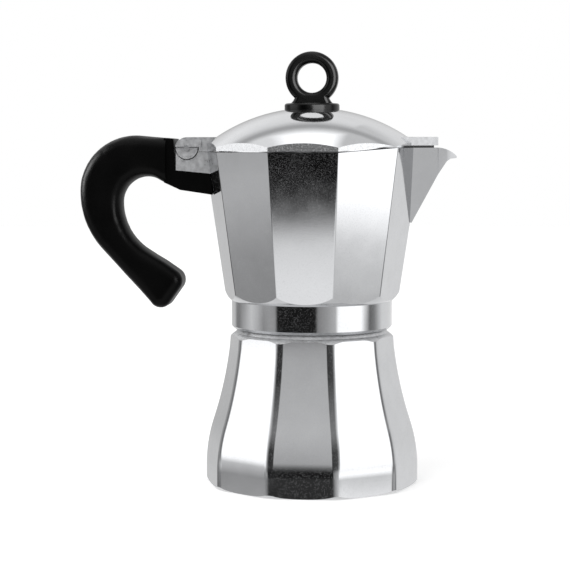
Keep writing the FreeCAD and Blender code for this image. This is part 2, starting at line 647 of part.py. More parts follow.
KEEL_CLIMB = "((Pot.keel_level - Pot.spout_apex_level) / (Pot.keel_reach - Pot.spout_apex_reach))"
LIP_STATIONS = [
    ("(Pot.keel_reach - 3.5)", f"(Pot.keel_level - 3.5 * {KEEL_CLIMB})"),
    ("(Pot.keel_reach + 0.6)", "(Pot.keel_level - 0.3)"),
    ("(Pot.keel_reach + 2.4)", "(Pot.keel_level + 0.9)"),
    ("Pot.tip_reach", "(Pot.tip_level - 0.6)"),
]

loft(collector, "spout", [spout_level("spout_low", "0.04", "0"), spout_level("spout_high", "1.03", "0")])
loft(collector, "spout_lip", [
    lip_section(f"lip_{number}", reach, keel, "0") for number, (reach, keel) in enumerate(LIP_STATIONS)
])

rim = new_sketch(collector, "rim_profile", "XZ_Plane")
trace(rim, [
    ("-90", "Pot.rim_level"),
    ("Pot.rim_lift_start", "Pot.rim_level"),
    ("Pot.rim_lift_end", RIM_TOP),
    ("Pot.tip_reach - 9.3", RIM_TOP),
    ("Pot.tip_reach + 0.3", "Pot.tip_level", "13", "right"),
    ("Pot.tip_reach + 8", "Pot.tip_level"),
    ("Pot.tip_reach + 8", f"{RIM_TOP} + 20"),
    ("-90", f"{RIM_TOP} + 20"),
])
slab(collector, "rim", rim, None, cut=True, middle=True)

LUG_TOP = "(Pot.hinge_level - 0.3)"
LUG_ROOT = "(Pot.rim_apothem - 4.2)"
lug = new_sketch(collector, "lug_profile", "XZ_Plane")
trace(lug, [
    (f"-{LUG_ROOT}", f"Pot.lug_drop - Pot.lug_slope * (Pot.lug_reach - {LUG_ROOT})"),
    (f"-{LUG_ROOT}", "Pot.rim_level"),
    ("-Pot.hinge_reach + Pot.ear_radius + Pot.hinge_play", "Pot.rim_level"),
    ("-Pot.hinge_reach + Pot.ear_radius + Pot.hinge_play", LUG_TOP),
    ("-Pot.lug_reach", LUG_TOP),
    ("-Pot.lug_reach", "Pot.lug_drop"),
])
slab(collector, "lug", lug, "2 * Pot.lug_half", middle=True)
ear_room = new_sketch(collector, "ear_room_profile", "XZ_Plane")
ring(ear_room, "-Pot.hinge_reach", "Pot.hinge_level", "Pot.ear_radius + Pot.hinge_play")
slab(collector, "ear_room", ear_room, None, cut=True, middle=True)
tongue = new_sketch(collector, "tongue_profile", "XZ_Plane")
trace(tongue, [
    ("-Pot.hinge_reach - Pot.tongue_radius", "Pot.lug_drop + 2"),
    ("-Pot.hinge_reach + Pot.tongue_radius", "Pot.lug_drop + 2"),
    ("-Pot.hinge_reach + Pot.tongue_radius", "Pot.hinge_level"),
    ("-Pot.hinge_reach", "Pot.hinge_level + Pot.tongue_radius", "Pot.tongue_radius", "left"),
    ("-Pot.hinge_reach - Pot.tongue_radius", "Pot.hinge_level", "Pot.tongue_radius", "left"),
])
slab(collector, "tongue", tongue, "2 * Pot.tongue_half", middle=True)

INSIDE_TOP = f"({RIM_TOP} + 1)"
inside = new_sketch(collector, "inside_profile", "XY_Plane", INSIDE_TOP)
polygon(inside, f"({apothem_at(INSIDE_TOP)} - Pot.collector_wall)", int(size("Pot.facet_count")), 0)
hollow = slab(collector, "inside", inside, f"{INSIDE_TOP} - Pot.collector_floor", cut=True)
hollow.setExpression("TaperAngle", "-atan(Pot.flare)")
doc.recompute()
loft(collector, "spout_inside", [
    spout_level("spout_inside_low", "0.12", "Pot.spout_wall"),
    spout_level("spout_inside_high", "1.04", "Pot.spout_wall"),
], cut=True)
loft(collector, "lip_inside", [
    lip_section(f"lip_inside_{number}", f"({reach} + 0.4)", keel, f"({wall} * Pot.spout_wall)")
    for number, ((reach, keel), wall) in enumerate(zip(LIP_STATIONS, (2.1, 1.4, 0.8, 0.35)))
], cut=True)
turned(collector, "floor_cone", [
    ("Pot.column_plug", "Pot.collector_floor - 0.4"),
    (f"{apothem_at('Pot.collector_floor')} - Pot.collector_wall - 1", "Pot.collector_floor - 0.4"),
    ("Pot.column_foot + 1", "Pot.floor_peak"),
    ("Pot.column_plug", "Pot.floor_peak"),
])
turned(collector, "underside", [
    ("0", "Pot.collar_level - 1"),
    ("Pot.thread_root + Pot.thread_play", "Pot.collar_level - 1"),
    ("Pot.thread_root + Pot.thread_play", SEAT),
    ("Pot.plate_radius + 0.3", SEAT),
    ("Pot.plate_radius + 0.3", f"{SEAT} + Pot.plate_thick + 0.1"),
    ("Pot.gasket_bore + 1.2", f"{SEAT} + Pot.plate_thick + 0.1"),
    ("Pot.column_plug", "Pot.floor_peak - 2.8"),
    ("Pot.column_plug", "Pot.floor_peak + 1"),
    ("0", "Pot.floor_peak + 1"),
], cut=True)
GROOVE_MIDDLE = f"({THREAD_MIDDLE} - Pot.thread_pitch)"
GROOVE_WIDE = "(Pot.thread_foot / 2 + 1.1 * Pot.thread_play)"
GROOVE_DEEP = "(Pot.thread_land / 2 + 0.72 * Pot.thread_play)"
thread(collector, "collar_thread", [
    ("Pot.thread_root - 0.3", f"{GROOVE_MIDDLE} - {GROOVE_WIDE}"),
    ("Pot.thread_crest + Pot.thread_play", f"{GROOVE_MIDDLE} - {GROOVE_DEEP}"),
    ("Pot.thread_crest + Pot.thread_play", f"{GROOVE_MIDDLE} + {GROOVE_DEEP}"),
    ("Pot.thread_root - 0.3", f"{GROOVE_MIDDLE} + {GROOVE_WIDE}"),
], "Pot.thread_turns + 1.12", cut=True)
pin_hole = new_sketch(collector, "pin_hole_profile", "XZ_Plane")
ring(pin_hole, "-Pot.hinge_reach", "Pot.hinge_level", "Pot.pin_radius")
slab(collector, "pin_hole", pin_hole, "4 * Pot.tongue_half", cut=True, middle=True)
bolt_hole = new_sketch(collector, "bolt_hole_profile", "XY_Plane", "Pot.lug_drop - 6")
ring(bolt_hole, "-Pot.bolt_reach", "0", "Pot.bolt_radius")
slab(collector, "bolt_hole", bolt_hole, "Pot.bolt_tip + 0.4 - Pot.lug_drop + 6", cut=True, back=True)

column = new_body("column")
turned(column, "column_tube", [
    ("Pot.column_bore", "Pot.floor_peak - 2.8"),
    ("Pot.column_plug", "Pot.floor_peak - 2.8"),
    ("Pot.column_plug", "Pot.floor_peak"),
    ("Pot.column_foot", "Pot.floor_peak"),
    ("Pot.column_radius", "Pot.column_top - 2"),
    ("Pot.column_radius - 2", "Pot.column_top", "2", "left"),
    ("0", "Pot.column_top"),
    ("0", "Pot.column_top - 3"),
    ("Pot.column_bore", "Pot.column_top - 4"),
])
outlet = new_sketch(column, "outlet_profile", "YZ_Plane")
trace(outlet, [
    ("-0.55 * Pot.column_bore", "Pot.column_top - 11"),
    ("0.55 * Pot.column_bore", "Pot.column_top - 11"),
    ("0.55 * Pot.column_bore", "Pot.column_top - 5"),
    ("-0.55 * Pot.column_bore", "Pot.column_top - 5"),
])
slab(column, "outlets", outlet, None, cut=True, middle=True)

hinge_pin = new_body("hinge_pin")
pin_end = new_sketch(hinge_pin, "pin_profile", "XZ_Plane")
ring(pin_end, "-Pot.hinge_reach", "Pot.hinge_level", "Pot.pin_radius")
slab(hinge_pin, "pin", pin_end, "2 * Pot.ear_outer + 0.6", middle=True)

# Lid
LID_EDGE = "(Pot.rim_level + Pot.lid_gap)"
CROWN_CENTRE = ("(Pot.crown_level + Pot.seat_sink - sqrt(Pot.crown_radius * Pot.crown_radius"
                " - Pot.crown_flat * Pot.crown_flat))")
CORNER = "(Pot.rim_apothem / cos(180 / Pot.facet_count))"
DOME_REACH = "(Pot.rim_apothem - 6.2)"


def dome_level(reach, thick):
    """Height of the dome at a distance from the axis, under its surface by the given thickness."""
    radius = f"(Pot.crown_radius - {thick})"
    return f"({CROWN_CENTRE} + sqrt({radius} * {radius} - {reach} * {reach}))"


lid = new_body("lid")
turned(lid, "lid_dome", [
    ("0", LID_EDGE),
    (f"{CORNER} + 0.4", LID_EDGE),
    (f"{CORNER} + 0.4", dome_level(f"({CORNER} + 0.4)", "0")),
    ("Pot.crown_flat", "Pot.crown_level + Pot.seat_sink", "Pot.crown_radius", "left"),
    ("Pot.crown_flat", "Pot.crown_level"),
    ("0", "Pot.crown_level"),
])
lid_side = new_sketch(lid, "lid_facet", "YZ_Plane")
trace(lid_side, [
    ("Pot.rim_apothem", f"{LID_EDGE} - 2"),
    ("Pot.rim_apothem + 20", f"{LID_EDGE} - 2"),
    ("Pot.rim_apothem + 20", "Pot.crown_level"),
    ("Pot.rim_apothem", "Pot.crown_level"),
])
around(lid, "lid_facets", slab(lid, "lid_flat", lid_side, None, cut=True, middle=True), "Pot.facet_count")

HINGE_X = "-Pot.hinge_reach"
BAR_UNDER = "(Pot.hinge_level + 0.5)"
EAR_TOP = "(Pot.hinge_level + Pot.ear_radius)"
arms = new_sketch(lid, "arms_profile", "XZ_Plane")
trace(arms, [
    ("-Pot.rim_apothem - 4", LID_EDGE),
    ("-Pot.rim_apothem + 4.6", LID_EDGE),
    ("-Pot.rim_apothem + 4.6", EAR_TOP),
    (HINGE_X, EAR_TOP),
    (f"{HINGE_X} - Pot.ear_radius", "Pot.hinge_level", "Pot.ear_radius", "left"),
    (HINGE_X, "Pot.hinge_level - Pot.ear_radius", "Pot.ear_radius", "left"),
    (f"{HINGE_X} + sqrt(Pot.ear_radius * Pot.ear_radius - 0.25)", BAR_UNDER, "Pot.ear_radius", "left"),
    ("-Pot.rim_apothem - 4", BAR_UNDER),
])
slab(lid, "arms", arms, "2 * Pot.ear_outer", middle=True)
BAR_TOP = "(Pot.hinge_level + 4.2)"
BAR_SWING = "(Pot.ear_radius + 0.15)"
bar = new_sketch(lid, "bar_profile", "XZ_Plane")
trace(bar, [
    ("-Pot.rim_apothem - 2.5", BAR_UNDER),
    ("-Pot.rim_apothem - 2.5", BAR_TOP),
    (f"{HINGE_X} - sqrt({BAR_SWING} * {BAR_SWING} - 4.2 * 4.2)", BAR_TOP),
    (f"{HINGE_X} - sqrt({BAR_SWING} * {BAR_SWING} - 0.25)", BAR_UNDER, BAR_SWING, "left"),
])
slab(lid, "bar", bar, "2 * Pot.ear_outer + 1.6", middle=True)
fork = new_sketch(lid, "fork_profile", "XZ_Plane")
trace(fork, [
    (f"{HINGE_X} - 9", "Pot.hinge_level - 9"),
    (f"{HINGE_X} + Pot.tongue_radius + Pot.hinge_play", "Pot.hinge_level - 9"),
    (f"{HINGE_X} + Pot.tongue_radius + Pot.hinge_play", "Pot.hinge_level + 9"),
    (f"{HINGE_X} - 9", "Pot.hinge_level + 9"),
])
slab(lid, "fork", fork, "2 * Pot.tongue_half + 2 * Pot.hinge_play", cut=True, middle=True)
beak = new_sketch(lid, "beak_profile", "XY_Plane", f"{RIM_TOP} + Pot.lid_gap")
trace(beak, [
    ("Pot.rim_apothem - 6.7", "-Pot.spout_half - 4.5"),
    ("Pot.beak_reach", "-0.46 * Pot.spout_half"),
    ("Pot.beak_reach", "0.46 * Pot.spout_half"),
    ("Pot.rim_apothem - 6.7", "Pot.spout_half + 4.5"),
])
slab(lid, "beak", beak, f"Pot.beak_top - {RIM_TOP} - Pot.lid_gap")
under = new_sketch(lid, "lid_under_profile", "XZ_Plane")
trace(under, [
    ("-Pot.rim_apothem - 4", f"{LID_EDGE} - 3"),
    ("Pot.beak_reach + 5", f"{LID_EDGE} - 3"),
    ("Pot.beak_reach + 5", f"{RIM_TOP} + Pot.lid_gap"),
    ("Pot.rim_lift_end", f"{RIM_TOP} + Pot.lid_gap"),
    ("Pot.rim_lift_start", LID_EDGE),
    ("-Pot.rim_apothem - 4", LID_EDGE),
])
slab(lid, "lid_under", under, None, cut=True, middle=True)
LID_UNDERSIDE = "(Pot.crown_level - Pot.lid_wall)"
UNDER_RADIUS = "(Pot.crown_radius - Pot.lid_wall)"
UNDER_RISE = f"({LID_UNDERSIDE} - {CROWN_CENTRE})"
UNDER_FLAT = f"sqrt({UNDER_RADIUS} * {UNDER_RADIUS} - {UNDER_RISE} * {UNDER_RISE})"
turned(lid, "lid_hollow", [
    ("0", f"{LID_EDGE} - 1"),
    ("Pot.rim_apothem - 3.4", f"{LID_EDGE} - 1"),
    ("Pot.rim_apothem - 3.4", f"{LID_EDGE} + 0.8"),
    (f"{DOME_REACH} - 1.2", dome_level(f"({DOME_REACH} - 1.2)", "Pot.lid_wall"), "12", "left"),
    (UNDER_FLAT, LID_UNDERSIDE, UNDER_RADIUS, "left"),
    ("0", LID_UNDERSIDE),
], cut=True)
hinge_hole = new_sketch(lid, "hinge_hole_profile", "XZ_Plane")
ring(hinge_hole, HINGE_X, "Pot.hinge_level", "Pot.pin_radius + Pot.pin_play")
slab(lid, "hinge_hole", hinge_hole, None, cut=True, middle=True)
stud_hole = new_sketch(lid, "stud_hole_profile", "XY_Plane", "Pot.crown_level + 1")
ring(stud_hole, "0", "0", "Pot.stud_radius + Pot.stud_play")
slab(lid, "stud_hole", stud_hole, "Pot.lid_wall + 8", cut=True)

# Knob and its fixing
RING_UP = "(Pot.ring_level - Pot.crown_level)"
NECK_TOP = f"({RING_UP} - 0.5 * Pot.ring_outer - 0.5 * Pot.ring_inner + 1.5)"
knob = new_body("knob")
neck = new_sketch(knob, "neck_profile", "XZ_Plane")
trace(neck, [
    ("-Pot.neck_half - 2.4", "Pot.knob_foot_high - 0.5", "6", "right"),
    ("Pot.neck_half + 2.4", "Pot.knob_foot_high - 0.5"),
    ("Pot.neck_half - 0.4", NECK_TOP, "6", "right"),
    ("-Pot.neck_half + 0.4", NECK_TOP),
])
slab(knob, "neck", neck, "Pot.ring_depth", middle=True)


def neck_edge(edge):
    """Curved side edges of the knob's neck."""
    return edge.BoundBox.YLength < 0.01 and edge.BoundBox.ZLength > 0.01


rounded(knob, "neck_soft", neck_edge, "0.28 * Pot.ring_depth")
RING_SOFT = "(0.28 * Pot.ring_depth)"
HALF_DEPTH = "(Pot.ring_depth / 2)"
loop = new_sketch(knob, "loop_profile", "XY_Plane", RING_UP)
trace(loop, [
    (f"Pot.ring_inner + {RING_SOFT}", f"-{HALF_DEPTH}", RING_SOFT, "left"),
    (f"Pot.ring_outer - {RING_SOFT}", f"-{HALF_DEPTH}"),
    ("Pot.ring_outer", f"{RING_SOFT} - {HALF_DEPTH}", RING_SOFT, "left"),
    ("Pot.ring_outer", f"{HALF_DEPTH} - {RING_SOFT}"),
    (f"Pot.ring_outer - {RING_SOFT}", HALF_DEPTH, RING_SOFT, "left"),
    (f"Pot.ring_inner + {RING_SOFT}", HALF_DEPTH),
    ("Pot.ring_inner", f"{HALF_DEPTH} - {RING_SOFT}", RING_SOFT, "left"),
    ("Pot.ring_inner", f"{RING_SOFT} - {HALF_DEPTH}"),
])
loop_turn = knob.newObject("PartDesign::Revolution", "loop")
loop_turn.Profile = loop
loop_turn.ReferenceAxis = (loop, ["V_Axis"])
loop_turn.Angle = 360
knob.Tip = loop_turn
doc.recompute()
turned(knob, "knob_foot", [
    ("0", "0"),
    ("Pot.knob_foot - 0.8", "0"),
    ("Pot.knob_foot", "0.8", "0.8", "left"),
    ("Pot.knob_foot", "Pot.knob_foot_high - 1.2"),
    ("Pot.knob_foot - 1.2", "Pot.knob_foot_high", "1.2", "left"),
    ("0", "Pot.knob_foot_high + 0.8"),
])
socket = new_sketch(knob, "socket_profile", "XY_Plane")
ring(socket, "0", "0", "Pot.insert_radius")
slab(knob, "socket", socket, "Pot.insert_long", cut=True, back=True)
knob.setExpression(".Placement.Base.z", "Pot.crown_level")

knob_insert = new_body("knob_insert")
turned(knob_insert, "insert_bush", [
    ("Pot.stud_radius", "0"),
    ("Pot.insert_radius", "0"),
    ("Pot.insert_radius", "Pot.insert_long"),
    ("0", "Pot.insert_long"),
    ("0", "Pot.insert_long - 0.8"),
    ("Pot.stud_radius", "Pot.insert_long - 0.8"),
])
knob_insert.setExpression(".Placement.Base.z", "Pot.crown_level")


def washer(label, bore, radius):
    """Flat ring, its upper face at its own origin."""
    body = new_body(label)
    turned(body, label + "_disc", [
        (bore, "-Pot.washer_thick"),
        (radius, "-Pot.washer_thick"),
        (radius, "0"),
        (bore, "0"),
    ])
    return body


def screw(label, shank, long, head, head_high):
    """Screw that points up, with a flat head and a cross slot, the head's seat at its own origin."""
    body = new_body(label)
    turned(body, label + "_blank", [
        ("0", f"-{head_high}"),
        (f"{head} - 0.6", f"-{head_high}"),
        (head, f"0.6 - {head_high}"),
        (head, "0"),
        (shank, "0"),
        (shank, f"{long} - 0.5"),
        (f"{shank} - 0.5", long),
        ("0", long),
    ])
    for number, (wide, deep) in enumerate(((f"{head} * 0.6", "0.4"), ("0.4", f"{head} * 0.6"))):
        slot = new_sketch(body, f"{label}_slot_{number}_profile", "XY_Plane", f"-{head_high} - 0.5")
        trace(slot, [
            (f"-{wide}", f"-{deep}"),
            (wide, f"-{deep}"),
            (wide, deep),
            (f"-{wide}", deep),
        ])
        slab(body, f"{label}_slot_{number}", slot, f"0.5 + 0.5 * {head_high}", cut=True, back=True)
    return body


knob_washer = washer("knob_washer", "Pot.stud_radius + 0.2", "Pot.stud_radius + 2.6")
knob_washer.setExpression(".Placement.Base.z", LID_UNDERSIDE)
knob_screw = screw("knob_screw", "Pot.stud_radius",
                   f"(Pot.crown_level + Pot.insert_long - 1.6 - {LID_UNDERSIDE} + Pot.washer_thick)",
                   "(Pot.stud_radius + 1.6)", "2.2")
knob_screw.setExpression(".Placement.Base.z", f"{LID_UNDERSIDE} - Pot.washer_thick")

# Handle: a grip of lines and tangent arcs, and a narrower neck with a lip under the lug
ARC_LEVEL = "Pot.grip_level"
CROWN_X = "(-Pot.grip_reach + Pot.grip_crown)"
HEEL_X = "(-Pot.grip_reach + Pot.grip_heel)"
PALM_X = "(-Pot.palm_reach + Pot.palm_arc)"
ARCH_X = "(-Pot.palm_reach + Pot.arch_arc)"
CHEEK_X = "(-Pot.handle_end - 4.5)"


def top_line(x):
    """Height of the handle's upper edge."""
    start = f"({ARC_LEVEL} + Pot.grip_crown * cos(Pot.top_fall))"
    return f"({start} - ({x} - {CROWN_X} - Pot.grip_crown * sin(Pot.top_fall)) * tan(Pot.top_fall))"


def neck_line(x):
    """Height of the lower edge from the arch to the lip."""
    start = f"(Pot.palm_level + Pot.arch_arc * cos(Pot.neck_fall))"
    return f"({start} - ({x} - {ARCH_X} - Pot.arch_arc * sin(Pot.neck_fall)) * tan(Pot.neck_fall))"


handle = new_body("handle")
grip = new_sketch(handle, "grip_profile", "XZ_Plane")
trace(grip, [
    (CHEEK_X, neck_line(CHEEK_X)),
    (CHEEK_X, top_line(CHEEK_X)),
    (f"{CROWN_X} + Pot.grip_crown * sin(Pot.top_fall)", f"{ARC_LEVEL} + Pot.grip_crown * cos(Pot.top_fall)"),
    ("-Pot.grip_reach", ARC_LEVEL, "Pot.grip_crown", "left"),
    (f"{HEEL_X} - Pot.grip_heel * sin(Pot.heel_fall)", f"{ARC_LEVEL} - Pot.grip_heel * cos(Pot.heel_fall)",
     "Pot.grip_heel", "left"),
    ("-Pot.end_low_reach", "Pot.end_low_level"),
    ("-Pot.end_high_reach", "Pot.end_high_level"),
    (f"{PALM_X} - Pot.palm_arc * sin(Pot.palm_fall)", f"Pot.palm_level - Pot.palm_arc * cos(Pot.palm_fall)"),
    ("-Pot.palm_reach", "Pot.palm_level", "Pot.palm_arc", "right"),
    (f"{ARCH_X} + Pot.arch_arc * sin(Pot.neck_fall)", f"Pot.palm_level + Pot.arch_arc * cos(Pot.neck_fall)",
     "Pot.arch_arc", "right"),
])
slab(handle, "grip", grip, "2 * Pot.handle_half", middle=True)


def end_edge(edge):
    """The two edges across the handle's lower end."""
    box = edge.BoundBox
    return box.YLength > size("Pot.handle_half") and box.ZMax < size("Pot.end_high_level") + 0.5


def grip_edge(edge):
    """Edges of the grip's two flat faces, but for the one towards the pot."""
    box = edge.BoundBox
    return box.YLength < 0.01 and (box.XLength > 0.01 or box.Center.x < size(CHEEK_X) - 1)


rounded(handle, "end_soft", end_edge, "Pot.handle_round + 1")
rounded(handle, "grip_soft", grip_edge, "Pot.handle_round")
LIP_END = "(Pot.spout_apex_reach - 0.5)"
LIP_TOP = f"(Pot.lug_drop - Pot.lug_slope * (Pot.lug_reach - {LIP_END}))"
tenon = new_sketch(handle, "neck_piece_profile", "XZ_Plane")
trace(tenon, [
    (f"-{LIP_END}", "Pot.lip_level"),
    (f"-{LIP_END}", LIP_TOP),
    ("-Pot.handle_end", "Pot.lug_drop + (Pot.handle_end - Pot.lug_reach) * Pot.lug_slope"),
    ("-Pot.handle_end - 0.6", top_line("(-Pot.handle_end - 0.6)")),
    (f"{CHEEK_X} - 1", top_line(f"({CHEEK_X} - 1)")),
    (f"{CHEEK_X} - 1", neck_line(f"({CHEEK_X} - 1)")),
    ("-Pot.handle_end + 2.5", neck_line("(-Pot.handle_end + 2.5)")),
])
slab(handle, "neck_piece", tenon, "2 * Pot.lug_half", middle=True)

# The lip's end is notched to sit against the corner of the pot, along the corner's own slope
corner_run = size("Pot.flare / cos(180 / Pot.facet_count)")
corner_reach = size(f"{apothem_at('Pot.lug_drop')} / cos(180 / Pot.facet_count)")
notch = new_sketch(handle, "notch_profile", "XY_Plane")
notch.AttachmentOffset = Placement(Vector(-corner_reach, 0, size("Pot.lug_drop")),
                                   Rotation(Vector(0, 1, 0), -math.degrees(math.atan(corner_run))))
trace(notch, [
    ("-Pot.hinge_play", "0"),
    ("6", "-(6 + Pot.hinge_play) / tan(180 / Pot.facet_count)"),
    ("6", "(6 + Pot.hinge_play) / tan(180 / Pot.facet_count)"),
])
slab(handle, "notch", notch, "80", cut=True, middle=True)
bolt_way = new_sketch(handle, "bolt_way_profile", "XY_Plane", "Pot.lug_drop - 18")
ring(bolt_way, "-Pot.bolt_reach", "0", "Pot.bolt_radius + 0.2")
slab(handle, "bolt_way", bolt_way, "30", cut=True, back=True)
bolt_sink = new_sketch(handle, "bolt_sink_profile", "XY_Plane", "Pot.bolt_seat")
ring(bolt_sink, "-Pot.bolt_reach", "0", "Pot.bolt_head + 0.8")
slab(handle, "bolt_sink", bolt_sink, "20", cut=True)

handle_washer = washer("handle_washer", "Pot.bolt_radius + 0.2", "Pot.bolt_head + 0.4")
handle_screw = screw("handle_screw", "Pot.bolt_radius", "(Pot.bolt_tip - Pot.bolt_seat + Pot.washer_thick)",
                     "Pot.bolt_head", "Pot.bolt_head_high")
for body, level in ((handle_washer, "Pot.bolt_seat"), (handle_screw, "Pot.bolt_seat - Pot.washer_thick")):
    body.setExpression(".Placement.Base.x", "-Pot.bolt_reach")
    body.setExpression(".Placement.Base.z", level)

doc.recompute()
PIECES = [
    boiler, valve_body, valve_washer, valve_plunger, valve_spring, valve_cap,
    funnel, funnel_screen, gasket, filter_plate,
    collector, column, hinge_pin, handle, handle_screw, handle_washer,
    lid, knob, knob_insert, knob_washer, knob_screw,
]
for item in doc.Objects:
    if "Invalid" in item.State or "Error" in item.State:
        raise RuntimeError(f"{item.Label} is in state {item.State}")
os.makedirs("parts", exist_ok=True)
for piece in PIECES:
    shape = piece.Shape
    if shape.isNull() or not shape.isValid() or len(shape.Solids) != 1:
        raise RuntimeError(f"{piece.Label} isn't one sound solid")
    shape.exportStep(f"parts/{piece.Label}.step")
    print(f"{piece.Label}: {shape.Volume / 1000:.2f} cm3")
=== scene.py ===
# %% [markdown]
# # A polished moka pot
# The pot is cast aluminium, polished until it mirrors the studio round it. The measured solids come from
# the frame, and this file dresses them: rounded edges where the polishing wheel went, metal and plastic
# finishes, a white studio whose bright and dark sides the metal shows, and the camera. Lengths are in
# millimetres, apart from those of the lamps, which are in metres.

# %% Load the measured frame
import json
import math

import bmesh
import bpy
from mathutils import Matrix, Vector

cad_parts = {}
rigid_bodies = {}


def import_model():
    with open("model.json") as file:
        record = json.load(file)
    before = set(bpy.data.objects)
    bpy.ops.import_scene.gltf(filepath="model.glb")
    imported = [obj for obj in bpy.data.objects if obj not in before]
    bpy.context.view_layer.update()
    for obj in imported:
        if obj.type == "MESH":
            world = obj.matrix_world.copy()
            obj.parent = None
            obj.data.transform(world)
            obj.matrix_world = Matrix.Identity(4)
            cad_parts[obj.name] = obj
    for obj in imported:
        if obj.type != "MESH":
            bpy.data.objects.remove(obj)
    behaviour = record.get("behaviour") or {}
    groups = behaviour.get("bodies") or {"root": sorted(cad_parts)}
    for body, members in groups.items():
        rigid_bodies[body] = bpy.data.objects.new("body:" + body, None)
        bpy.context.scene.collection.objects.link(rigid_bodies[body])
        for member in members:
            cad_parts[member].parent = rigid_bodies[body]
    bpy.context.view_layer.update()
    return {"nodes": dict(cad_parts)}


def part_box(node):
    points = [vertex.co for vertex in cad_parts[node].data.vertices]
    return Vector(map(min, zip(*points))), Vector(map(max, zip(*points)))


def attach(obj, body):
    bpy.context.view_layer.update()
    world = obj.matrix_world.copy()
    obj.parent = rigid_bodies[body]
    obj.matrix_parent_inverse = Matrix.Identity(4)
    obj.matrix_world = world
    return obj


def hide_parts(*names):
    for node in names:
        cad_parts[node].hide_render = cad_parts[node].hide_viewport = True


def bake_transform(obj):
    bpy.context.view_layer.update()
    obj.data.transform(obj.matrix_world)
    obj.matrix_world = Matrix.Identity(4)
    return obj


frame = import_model()
scene = bpy.context.scene
MM = 0.001

# %% [markdown]
# ## Camera
# The photograph was taken from a little to the right of the pot's front and slightly above its middle,
# from about nine tenths of a metre, so the rim is seen edge-on and the foot from above. The lens follows
# from the size of the pot in the frame. Looking at a point beside the axis gives the framing without any
# shift.

# %% Stand the camera
VIEW_TURN = math.radians(4.8)
VIEW_DISTANCE = 890 * MM
VIEW_HEIGHT = 169.7 * MM
AIM_RIGHT = -13.1 * MM
AIM_HEIGHT = 96.3 * MM
LENS = 115.6
towards_camera = Vector((math.sin(VIEW_TURN), -math.cos(VIEW_TURN), 0))
camera_right = Vector((math.cos(VIEW_TURN), math.sin(VIEW_TURN), 0))


def stand(item, place, aim):
    """Put an object in the scene at a place, looking at a point."""
    scene.collection.objects.link(item)
    item.location = place
    item.rotation_euler = (aim - item.location).to_track_quat("-Z", "Y").to_euler()


camera = bpy.data.objects.new("camera", bpy.data.cameras.new("camera"))
stand(camera, towards_camera * VIEW_DISTANCE + Vector((0, 0, VIEW_HEIGHT)),
      camera_right * AIM_RIGHT + Vector((0, 0, AIM_HEIGHT)))
camera.data.sensor_width = 36
camera.data.lens = LENS
camera.data.clip_start = 10 * MM
scene.camera = camera
scene.view_settings.view_transform = "Standard"
print("camera at", [round(value, 3) for value in camera.location])

# %% [markdown]
# ## Nodes and colours
# Every material below is a small node tree. One function adds a node with its settings and its links, and
# one turns the hex values that a colour picker gives into the linear numbers that the shaders work with.

# %% Helpers for materials
NOISE_LOW = 0.3
NOISE_HIGH = 0.7


def linear(code):
    """Linear colour of an sRGB hex value."""
    levels = [int(code[place:place + 2], 16) / 255 for place in (1, 3, 5)]
    return [c / 12.92 if c <= 0.04045 else ((c + 0.055) / 1.055) ** 2.4 for c in levels] + [1]


def plug(tree, node, **inputs):
    """Set inputs by name or, as n6, by place. Each is a number, a colour or the output that feeds it."""
    for name, value in inputs.items():
        key = int(name[1:]) if name[0] == "n" and name[1:].isdigit() else name.replace("_", " ")
        if isinstance(value, bpy.types.NodeSocket):
            tree.links.new(value, node.inputs[key])
        else:
            node.inputs[key].default_value = value


def add(tree, kind, settings=None, **inputs):
    """New node of a kind with its settings and inputs."""
    node = tree.nodes.new(kind)
    for name, value in (settings or {}).items():
        setattr(node, name, value)
    plug(tree, node, **inputs)
    return node


def surface(name, colour, metallic, roughness):
    """New material: its tree, and its shader with the plain values set."""
    material = bpy.data.materials.new(name)
    material.use_nodes = True
    material.node_tree.nodes.clear()
    shader = add(material.node_tree, "ShaderNodeBsdfPrincipled",
                 Base_Color=linear(colour), Metallic=metallic, Roughness=roughness)
    add(material.node_tree, "ShaderNodeOutputMaterial", Surface=shader.outputs["BSDF"])
    return material, material.node_tree, shader


def per_metre(size_mm):
    """Texture scale that gives features of a size in millimetres."""
    return 1 / (size_mm * MM)


print("mid grey #808080 is", round(linear("#808080")[0], 3), "in linear light")

# %% [markdown]
# ## Polished cast aluminium
# The castings are belted and then buffed. Buffing leaves a mirror that is slightly soft, and it opens the
# tiny pores of the casting. A pore holds a little grey oxide that scatters light, so it shows as a fine
# bright speckle where the mirror is dark and vanishes where the mirror is bright. So the shader is a
# metal with a low roughness, a noise of the pores' size takes some of the metal away in spots, and a
# faint bump of the same noise turns the mirror a little. Pores of a usual size, about a fifth of a
# millimetre, are too fine for this frame, so they are drawn about four times as coarse. A slower noise
# gives the clouds that a casting keeps. The lid's sides are only trimmed, which leaves more pores open,
# and where the wheel doesn't reach at all, a skin of oxide covers the metal.

# %% Make the polished aluminium
PORE = 0.75
PORE_START = 0.48
PORE_FULL = 0.66
PORE_DEPTH = 0.02


